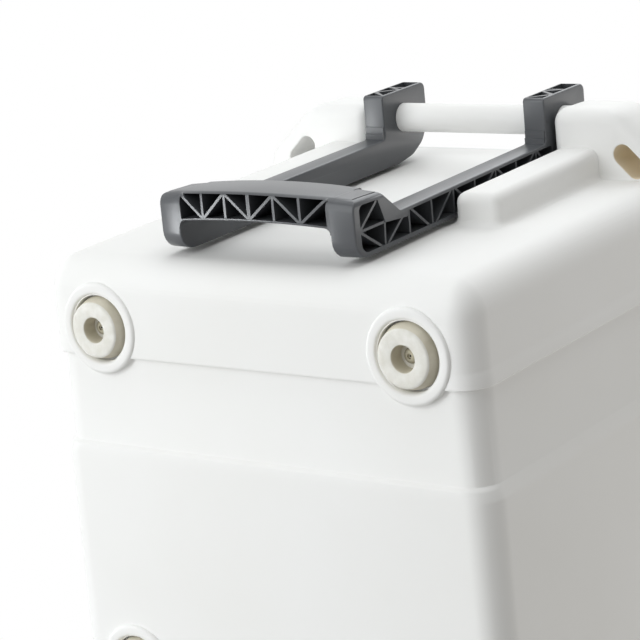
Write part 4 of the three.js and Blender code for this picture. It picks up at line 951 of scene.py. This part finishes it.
def hinge_side(x, wall, near, far, spans):
    toward = math.copysign(1, far - near)
    plate = [(wall - HINGE_PLATE, near), (wall, near), (wall, far), (wall - HINGE_PLATE, far)]
    leaf = rounded(prism("leaf", plate, "x", x - 1.5 * KNUCKLE, x + 1.5 * KNUCKLE), 1.2, 3)
    root = wall - HINGE_PLATE
    line = arc(hinge_y, RIM, KNUCKLE_R, 0, 360, 40)[:-1]
    line += [(root, near + toward * 2), (root + 1, near + toward * 2)]
    for low, high in spans:
        fuse(leaf, rounded(prism("knuckle", hull(line), "x", low, high), 0.6, 2, 50))
    hole = rod("pin_hole", HINGE_PIN_R + GAP, "x", (hinge_y, RIM), x - 3 * CLEAR, x + 3 * CLEAR, 32)
    return carve(leaf, hole)


button_screw = [(0, 0.8), (1.4, 0.8), (1.8, 0.2), (2.6, 0), (4.2, 0.6), (4.8, 1.6), (4.8, 2.2), (0, 2.2)]


def plate_screw(x, z, wall, side, body):
    """A small steel screw head on a plate: wall is the plate's outer face."""
    head = turned("plate_screw", button_screw, "y", (x, z), wall + side * 1.3, -side, 24)
    finish_piece(head, body, steel, "steel")


for name, x in HINGES.items():
    start = x - 1.5 * KNUCKLE
    wall = -half_width(start, RIM) - GAP
    bracket = hinge_side(x, wall, RIM - PLATE_NEAR, RIM - PLATE_FAR,
                         [(start, start + KNUCKLE), (start + 2 * KNUCKLE, start + 3 * KNUCKLE)])
    finish_piece(bracket, "tub", white, "white_plastic", "hinge_bracket_" + name)
    leaf = hinge_side(x, wall - LID_OVERHANG, RIM + PLATE_NEAR, RIM + PLATE_FAR,
                      [(start + KNUCKLE + GAP, start + 2 * KNUCKLE - GAP)])
    finish_piece(leaf, "lid", white, "white_plastic", "hinge_leaf_" + name)
    pin = rounded(rod("hinge_pin", HINGE_PIN_R, "x", (hinge_y, RIM), start, start + 3 * KNUCKLE, 32), 0.7, 2)
    finish_piece(pin, "tub", steel, "steel", "hinge_pin_" + name)
    for end in (-1, 1):
        plate_screw(x + end * 17, RIM - 29, wall - HINGE_PLATE, -1, "tub")
        plate_screw(x + end * 17, RIM + 29, wall - LID_OVERHANG - HINGE_PLATE, -1, "lid")

# ---------------------------------------------------------------------------
# Latches: black rubber straps on steel pins in the lid's ears. The bar of
# each strap snaps under the two fingers of a nylon keeper on the tub.
# ---------------------------------------------------------------------------
STRAP, STEM_HALF, BAR_NEAR, BAR_FAR, TAB_END = 6.5, 11.0, 58.5, 71.0, 94.0
FINGER_NEAR, FINGER_FAR, FINGER_REACH, FINGER_SLOT = 44.0, 57.3, 7.0, 13.5
KEEPER_PLATE, KEEPER_LOW, LATCH_REST = 3.0, 78.0, 14.0


def latch_strap(x):
    y, z, half = latch_pin_y(x), LATCH_PIN_Z, LATCH_HALF - GAP

    def slab(wide, low, high, top, bottom, edge=1.6):
        outline = [(x - wide, z - bottom), (x + wide, z - bottom), (x + wide, z - top), (x - wide, z - top)]
        return rounded(prism("slab", outline, "y", y + low, y + high), edge, 4)

    strap = rounded(rod("strap", LATCH_BARREL_R, "x", (y, z), x - half, x + half, 48), 0.8, 3)
    fuse(strap, slab(half, 1, 1 + STRAP, 0, FINGER_NEAR - 6),
         slab(STEM_HALF, 0.2, STRAP + 0.8, 0, BAR_FAR - 3),
         slab(half, -5, STRAP + 2, BAR_NEAR, BAR_FAR, 2.6),
         slab(STEM_HALF + 6, 2, STRAP + 1.8, BAR_FAR - 4, TAB_END, 2.4))
    for step in range(4):
        place = (y + STRAP + 2.2, z - TAB_END + 6 + step * 4)
        carve(strap, rod("grip_groove", 1.1, "x", place, x - STEM_HALF - 1, x + STEM_HALF + 1, 20))
    carve(strap, rod("pin_hole", LATCH_PIN_R + GAP, "x", (y, z), x - 3 * CLEAR, x + 3 * CLEAR, 32))
    strap.data.transform(Matrix.Translation((0, y, z)) @ Matrix.Rotation(math.radians(LATCH_REST), 4, "X") @
                         Matrix.Translation((0, -y, -z)))
    return strap


def keeper(x):
    y, z = latch_pin_y(x), LATCH_PIN_Z

    def wall(below):
        return half_width(x - LATCH_HALF, z - below) + GAP

    top, low = z - RIM + 12, KEEPER_LOW
    outline = [(wall(top), z - top), (wall(low), z - low), (wall(low) + KEEPER_PLATE, z - low),
               (wall(top) + KEEPER_PLATE, z - top)]
    plate = rounded(prism("plate", outline, "x", x - LATCH_HALF, x + LATCH_HALF), 1.0, 3)
    for end in (-1, 1):
        finger = [(wall(FINGER_FAR) + 1, z - FINGER_FAR), (y + FINGER_REACH, z - FINGER_FAR),
                  (y + FINGER_REACH - 1, z - FINGER_NEAR - 2), (y + FINGER_REACH - 4, z - FINGER_NEAR),
                  (wall(FINGER_FAR) + 1, z - FINGER_NEAR + 2)]
        span = sorted((x + end * FINGER_SLOT, x + end * LATCH_HALF))
        fuse(plate, rounded(prism("finger", finger, "x", *span), 1.0, 3, 20))
    return plate, wall


for name, x in zip(("front", "rear"), LATCH_XS):
    finish_piece(latch_strap(x), "latch_" + name, black_rubber, "black_rubber", "latch_" + name)
    pin = rod("latch_pin", LATCH_PIN_R, "x", (latch_pin_y(x), LATCH_PIN_Z), x - LATCH_HALF - EAR,
              x + LATCH_HALF + EAR, 32)
    finish_piece(rounded(pin, 0.8, 2), "lid", steel, "steel", "latch_pin_" + name)
    catch, wall = keeper(x)
    finish_piece(catch, "tub", nylon, "dark_nylon", "latch_keeper_" + name)
    for end in (-1, 1):
        plate_screw(x + end * 20, LATCH_PIN_Z - 69, wall(69) + KEEPER_PLATE, 1, "tub")

# ---------------------------------------------------------------------------
# Wheels: black tyres with a cross-barred tread on dark nylon hubs, turning on
# one steel axle that runs through a sleeve in the foam.
# ---------------------------------------------------------------------------
TYRE_THICK, TYRE_ROUND, TREAD = 20.0, 9.0, 2.6
AXLE_R, AXLE_RUN, WASHER_R, WASHER = 6.0, 0.35, 16.0, 2.0
HUB_R, HUB_WEB, HUB_RIM, HUB_SET, SPOKES, CAP_R, CAP_DEPTH = 17.0, 7.0, 7.0, 4.0, 6, 14.0, 5.0
wheel_inner = WELL_INNER + WASHER + 2 * GAP
rim_r = WHEEL_R - TYRE_THICK
TREAD_BARS, TREAD_LEAN, TREAD_EDGE, TREAD_SPLIT = 44, 0.35, 1.2, 1.5
# Round corners of the window between two spokes: distance out, half their spread, and radius.
WINDOW_CORNERS = ((28, 6, 5), (43, 12, 3))


def tread_tree():
    """Places copies of one tread bar evenly round the wheel's axis."""
    tree = bpy.data.node_groups.new("tread_round_wheel", "GeometryNodeTree")
    new_sockets(tree, {"Bar": "Object", "Count": "Int", "Finish": "Material"}, {"Geometry": "Geometry"})
    enter, leave = new_node(tree, "NodeGroupInput"), new_node(tree, "NodeGroupOutput")
    places = new_node(tree, "GeometryNodePoints")
    bar = new_node(tree, "GeometryNodeObjectInfo")
    copies = new_node(tree, "GeometryNodeInstanceOnPoints")
    index = new_node(tree, "GeometryNodeInputIndex")
    step = new_node(tree, "ShaderNodeMath", {0: 2 * math.pi}, "DIVIDE")
    angle = new_node(tree, "ShaderNodeMath", operation="MULTIPLY")
    turn_to = new_node(tree, "ShaderNodeCombineXYZ")
    real = new_node(tree, "GeometryNodeRealizeInstances")
    paint = new_node(tree, "GeometryNodeSetMaterial")
    wire(tree, (enter, "Count", places, "Count"), (enter, "Bar", bar, "Object"), (enter, "Count", step, 1),
         (step, "Value", angle, 0), (index, "Index", angle, 1), (angle, "Value", turn_to, "Y"),
         (places, "Points", copies, "Points"), (bar, "Geometry", copies, "Instance"),
         (turn_to, "Vector", copies, "Rotation"), (copies, "Instances", real, "Geometry"),
         (real, "Geometry", paint, "Geometry"), (enter, "Finish", paint, "Material"),
         (paint, "Geometry", leave, "Geometry"))
    return tree


TREAD_ROUND = tread_tree()


def round_wheel(bar, count, finish):
    """Repeats a bar round the axis and returns it as one mesh."""
    holder = new_object("tread", bpy.data.meshes.new("tread"))
    change = holder.modifiers.new("round", "NODES")
    change.node_group = TREAD_ROUND
    names = {item.name: item.identifier for item in TREAD_ROUND.interface.items_tree
             if item.in_out == "INPUT"}
    change[names["Bar"]] = bar
    change[names["Count"]] = count
    change[names["Finish"]] = finish
    applied(holder)
    used_up(bar)
    return holder


def tread_bar(start, stop, lean_over):
    """One low bar of the tread, at the top of the wheel."""
    low, high, half = WHEEL_R - TREAD - 1.5, WHEEL_R - 0.6, 3.4
    rings = []
    for i in range(7):
        y = start + (stop - start) * i / 6
        drop = max(0.0, abs(y - WHEEL_WIDTH / 2) - (WHEEL_WIDTH / 2 - TYRE_ROUND)) ** 2 / (2 * TYRE_ROUND)
        x = lean_over * (y - WHEEL_WIDTH / 2)
        rings.append([(x - half, y, low - drop), (x - half + 0.5, y, high - drop),
                      (x + half - 0.5, y, high - drop), (x + half, y, low - drop)])
    return loft("tread_bar", rings)


def wheel_hub():
    rim = rim_r - GAP
    middle = WHEEL_WIDTH / 2
    inside, outer = rim - HUB_RIM, WHEEL_WIDTH - HUB_SET
    line = [(AXLE_R + AXLE_RUN, 0), (HUB_R, 0), (HUB_R, middle - HUB_WEB / 2), (inside, middle - HUB_WEB / 2),
            (inside + 1.5, HUB_SET + 1), (inside + 2.5, HUB_SET), (rim - 1, HUB_SET), (rim, HUB_SET + 1),
            (rim, outer - 1), (rim - 1, outer), (inside + 2.5, outer), (inside + 1.5, outer - 1),
            (inside, middle + HUB_WEB / 2), (HUB_R, middle + HUB_WEB / 2),
            (HUB_R, WHEEL_WIDTH - CAP_DEPTH - 1), (HUB_R - 1, WHEEL_WIDTH - CAP_DEPTH),
            (AXLE_R + AXLE_RUN, WHEEL_WIDTH - CAP_DEPTH)]
    hub = turned("hub", line, "y", (0, 0), 0)
    side_view = [(HUB_R - 2, 8), (inside + 2, 8), (inside + 2, WHEEL_WIDTH - 8),
                 (HUB_R - 2, WHEEL_WIDTH - 6.5)]
    for i in range(SPOKES):
        spoke = rounded(prism("spoke", side_view, "z", -3, 3), 1.4, 3)
        spoke.data.transform(Matrix.Rotation(math.radians(360 * i / SPOKES), 4, "Y"))
        fuse(hub, spoke)
    corners = [point for away, off, radius in WINDOW_CORNERS for side in BOTH_SIDES
               for point in arc(away, side * off, radius, 0, 360, 16)[:-1]]
    for i in range(SPOKES):
        window = prism("window", hull(corners), "y", -10, WHEEL_WIDTH + 10)
        window.data.transform(Matrix.Rotation(math.radians(360 * (i + 0.5) / SPOKES), 4, "Y"))
        carve(hub, window)
    return hub


def placed(piece, side):
    """Moves a piece made about the wheel's own axis out to one wheel."""
    piece.data.transform(Matrix.Diagonal((1, side, 1, 1)))
    if side < 0:
        piece.data.flip_normals()
    piece.data.transform(Matrix.Translation((WHEEL_X, side * wheel_inner, WHEEL_Z)))
    return piece


tyre_rubber = moulded("tyre_rubber", (0.026, 0.026, 0.027), (0.04, 0.039, 0.037), 0.72, 0.88, cloud=20.0,
                      grain=600.0, bump=0.35)
edge = TYRE_ROUND - TREAD
tyre_line = [(rim_r, 3), (WHEEL_R - TYRE_ROUND, 0)]
tyre_line += arc(WHEEL_R - TYRE_ROUND, edge, edge, -90, 0, 6)[1:]
tyre_line += [(r, WHEEL_WIDTH - h) for r, h in tyre_line[::-1]]
cap_line = [(0.01, 0), (CAP_R, 0), (CAP_R, 2.6), (CAP_R - 0.5, 3.5), (CAP_R - 3.5, CAP_DEPTH - 0.2),
            (CAP_R - 4.5, CAP_DEPTH), (CAP_R - 6, CAP_DEPTH), (CAP_R - 6.8, CAP_DEPTH - 0.9),
            (0.01, CAP_DEPTH - 0.9)]
washer_line = [(AXLE_R + GAP, 0), (WASHER_R, 0), (WASHER_R, WASHER), (AXLE_R + GAP, WASHER)]
for name, side in (("left", 1), ("right", -1)):
    tyre = turned("tyre", tyre_line, "y", (0, 0), 0, sides=128)
    half = WHEEL_WIDTH / 2
    tread = round_wheel(tread_bar(TREAD_EDGE, half - TREAD_SPLIT, TREAD_LEAN), TREAD_BARS, tyre_rubber)
    last = WHEEL_WIDTH - TREAD_EDGE
    other = round_wheel(tread_bar(half + TREAD_SPLIT, last, -TREAD_LEAN), TREAD_BARS, tyre_rubber)
    other.data.transform(Matrix.Rotation(math.pi / TREAD_BARS, 4, "Y"))
    finish_piece(placed(tyre, side), "wheel_" + name, tyre_rubber, "tyre", "tyre_" + name)
    for bars in (tread, other):
        finish_piece(placed(bars, side), "wheel_" + name, tyre_rubber, "tyre")
    finish_piece(placed(wheel_hub(), side), "wheel_" + name, nylon, "dark_nylon", "wheel_hub_" + name)
    cap = turned("wheel_cap", cap_line, "y", (0, 0), WHEEL_WIDTH - CAP_DEPTH + GAP, sides=64)
    finish_piece(placed(cap, side), "wheel_" + name, nylon, "dark_nylon", "wheel_cap_" + name)
    washer = turned("washer", washer_line, "y", (WHEEL_X, WHEEL_Z), side * (WELL_INNER + GAP), side, 64)
    finish_piece(washer, "tub", steel, "steel", "wheel_washer_" + name)
axle_end = wheel_inner + WHEEL_WIDTH - CAP_DEPTH - 1
axle = rounded(rod("axle", AXLE_R, "y", (WHEEL_X, WHEEL_Z), -axle_end, axle_end), 0.8, 2)
finish_piece(axle, "tub", steel, "steel", "axle")
paint_node("axle_sleeve", nylon)

# ---------------------------------------------------------------------------
# Drain: a nylon bush through the wall, a rubber washer and a screw-in plug
# with a ribbed head, low on the hinge side.
# ---------------------------------------------------------------------------
BUSH_FLANGE_R, BUSH_FLANGE, SEAL_R, SEAL = 19.0, 3.0, 15.0, 2.0
PLUG_HEAD_R, PLUG_HEAD, PLUG_SHANK = 17.0, 11.0, 20.0
FLUTES, THREAD_DEPTH = 12, 0.9
drain_wall = -half_width(DRAIN_X - BUSH_FLANGE_R, DRAIN_Z + BUSH_FLANGE_R)
drain_inner = -(half_width(DRAIN_X, DRAIN_Z) - WALL - (RIM - DRAIN_Z) * LINER_DRAFT)
bush_length = drain_inner - drain_wall + 4
bush_line = [(DRAIN_R, 0), (BUSH_FLANGE_R - 1, 0), (BUSH_FLANGE_R, 1), (BUSH_FLANGE_R, BUSH_FLANGE),
             (DRAIN_R + BUSH_WALL, BUSH_FLANGE), (DRAIN_R + BUSH_WALL, bush_length), (DRAIN_R, bush_length)]
seat = drain_wall - BUSH_FLANGE - GAP
bush = turned("drain_bush", bush_line, "y", (DRAIN_X, DRAIN_Z), seat)
finish_piece(bush, "tub", nylon, "dark_nylon", "drain_bush")
seal_line = [(DRAIN_R, 0), (SEAL_R - 0.6, 0), (SEAL_R, 0.6), (SEAL_R, SEAL - 0.6), (SEAL_R - 0.6, SEAL),
             (DRAIN_R, SEAL)]
seal = turned("drain_seal", seal_line, "y", (DRAIN_X, DRAIN_Z), seat - GAP - SEAL)
finish_piece(seal, "drain_seal", black_rubber, "black_rubber", "drain_gasket")
thread = [(DRAIN_R - GAP - THREAD_DEPTH * (i % 2), 2 + i) for i in range(int(PLUG_SHANK) - 4)]
plug_line = [(0.01, -PLUG_HEAD), (PLUG_HEAD_R - 2.4, -PLUG_HEAD), (PLUG_HEAD_R - 0.9, 0.7 - PLUG_HEAD),
             (PLUG_HEAD_R, 2.2 - PLUG_HEAD), (PLUG_HEAD_R, -0.6), (PLUG_HEAD_R - 0.6, 0),
             (DRAIN_R - GAP, 0)] + thread
plug_line += [(DRAIN_R - GAP, PLUG_SHANK - 2), (DRAIN_R - 2, PLUG_SHANK), (0.01, PLUG_SHANK)]
plug = turned("drain_plug", plug_line, "y", (DRAIN_X, DRAIN_Z), seat - 2 * GAP - SEAL, sides=120)
for i in range(FLUTES):
    a = math.radians(360 * i / FLUTES)
    place = (DRAIN_X + (PLUG_HEAD_R + 0.9) * math.cos(a), DRAIN_Z + (PLUG_HEAD_R + 0.9) * math.sin(a))
    carve(plug, rod("flute", 2.4, "y", place, seat - SEAL - PLUG_HEAD - 5, seat - SEAL - 2.5, 24))
finish_piece(plug, "drain_plug", nylon, "dark_nylon", "drain_plug")

# ---------------------------------------------------------------------------
# The studio: a pale floor that fades into a white surround, and large soft
# lamps round the object. From below, the floor can't be seen.
# ---------------------------------------------------------------------------
scene = bpy.context.scene
scene.view_settings.view_transform = "Standard"


def in_frame(x, y, z):
    """A point of the tub's frame, in metres in the shared frame."""
    return ORIGIN + Vector((x, y, z)) / 1000


CAMERA_PLACE = (435.9, 1155.2, -1379.9)
CAMERA_RIGHT = Vector((-0.0928, 0.7960, 0.5982))
CAMERA_UP = Vector((0.9688, -0.0666, 0.2389))
camera_data = bpy.data.cameras.new("camera")
camera_data.lens = 136.8
camera_data.sensor_width = 36
camera_data.clip_end = 50
camera = bpy.data.objects.new("camera", camera_data)
scene.collection.objects.link(camera)
side_way = CAMERA_RIGHT.normalized()
up_way = (CAMERA_UP - CAMERA_UP.dot(side_way) * side_way).normalized()
turn = Matrix((side_way, up_way, side_way.cross(up_way))).transposed()
camera.matrix_world = Matrix.Translation(in_frame(*CAMERA_PLACE)) @ turn.to_4x4()
scene.camera = camera

world = bpy.data.worlds.new("surround")
world.use_nodes = True
scene.world = world
sky = world.node_tree
path = new_node(sky, "ShaderNodeLightPath")
lit = sky.nodes["Background"]
lit.inputs["Color"].default_value = (1.0, 0.985, 0.95, 1)
lit.inputs["Strength"].default_value = 0.33
seen = new_node(sky, "ShaderNodeBackground", {"Color": (1, 1, 1, 1), "Strength": 1.0})
choose = new_node(sky, "ShaderNodeMixShader")
shown = new_node(sky, "ShaderNodeMath", operation="MAXIMUM")
plain = new_node(sky, "ShaderNodeMath", operation="MAXIMUM")
wire(sky, (path, "Is Camera Ray", shown, 0), (path, "Is Glossy Ray", shown, 1), (shown, "Value", plain, 0),
     (path, "Is Transmission Ray", plain, 1), (plain, "Value", choose, "Fac"), (lit, "Background", choose, 1),
     (seen, "Background", choose, 2), (choose, "Shader", sky.nodes["World Output"], "Surface"))

floor = from_faces("floor", [(-6, -6, 0), (6, -6, 0), (6, 6, 0), (-6, 6, 0)], [(0, 1, 2, 3)])
if floor.data.polygons[0].normal.z < 0:
    floor.data.flip_normals()
floor_paint = bpy.data.materials.new("floor_paint")
floor_paint.use_nodes = True
tree = floor_paint.node_tree
paint = tree.nodes[SHADER]
paint.inputs["Base Color"].default_value = (0.9, 0.9, 0.89, 1)
paint.inputs["Roughness"].default_value = 0.8
# The paint fades into the white surround with distance from the object.
middle = new_node(tree, "ShaderNodeTexCoord")
away = new_node(tree, "ShaderNodeVectorMath", operation="LENGTH")
fade = new_node(tree, "ShaderNodeMapRange", {"From Min": 0.3, "From Max": 4.5, "To Min": 0.25})
fade.interpolation_type = "SMOOTHSTEP"
haze = new_node(tree, "ShaderNodeEmission")
faded = new_node(tree, "ShaderNodeMixShader")
clear = new_node(tree, "ShaderNodeBsdfTransparent")
under = new_node(tree, "ShaderNodeNewGeometry")
pick = new_node(tree, "ShaderNodeMixShader")
wire(tree, (middle, "Object", away, 0), (away, "Value", fade, "Value"), (fade, "Result", faded, "Fac"),
     (paint, "BSDF", faded, 1), (haze, "Emission", faded, 2), (under, "Backfacing", pick, "Fac"),
     (faded, "Shader", pick, 1), (clear, "BSDF", pick, 2),
     (pick, "Shader", tree.nodes["Material Output"], "Surface"))
floor.data.materials.append(floor_paint)
floor.visible_diffuse = False
floor.visible_glossy = False
floor.visible_transmission = False
floor.visible_shadow = False


LAMP_TARGET = (-120, 0, 150)


def lamp(name, direction, distance, size, power, tint):
    """A round soft lamp that points at the middle of the object from a direction."""
    data = bpy.data.lights.new(name, "AREA")
    data.shape = "DISK"
    data.size = size
    data.energy = power
    data.color = tint
    light = bpy.data.objects.new(name, data)
    scene.collection.objects.link(light)
    way = Vector(direction).normalized()
    light.location = in_frame(*LAMP_TARGET) + way * distance
    light.rotation_euler = way.to_track_quat("Z", "Y").to_euler()


COOL, WARM = (0.95, 0.98, 1.0), (1.0, 0.985, 0.955)
lamp("key", (-0.15, -0.7, -0.7), 2.5, 0.75, 20, COOL)
lamp("fill", (0.42, -0.34, -0.84), 2.8, 3.0, 46, COOL)
lamp("end", (0.98, 0.05, 0.1), 2.4, 3.0, 24, COOL)
lamp("back", (0.65, -0.1, 0.72), 2.6, 2.4, 27, COOL)
lamp("side", (-0.35, 0.6, 0.72), 2.6, 2.4, 21, WARM)
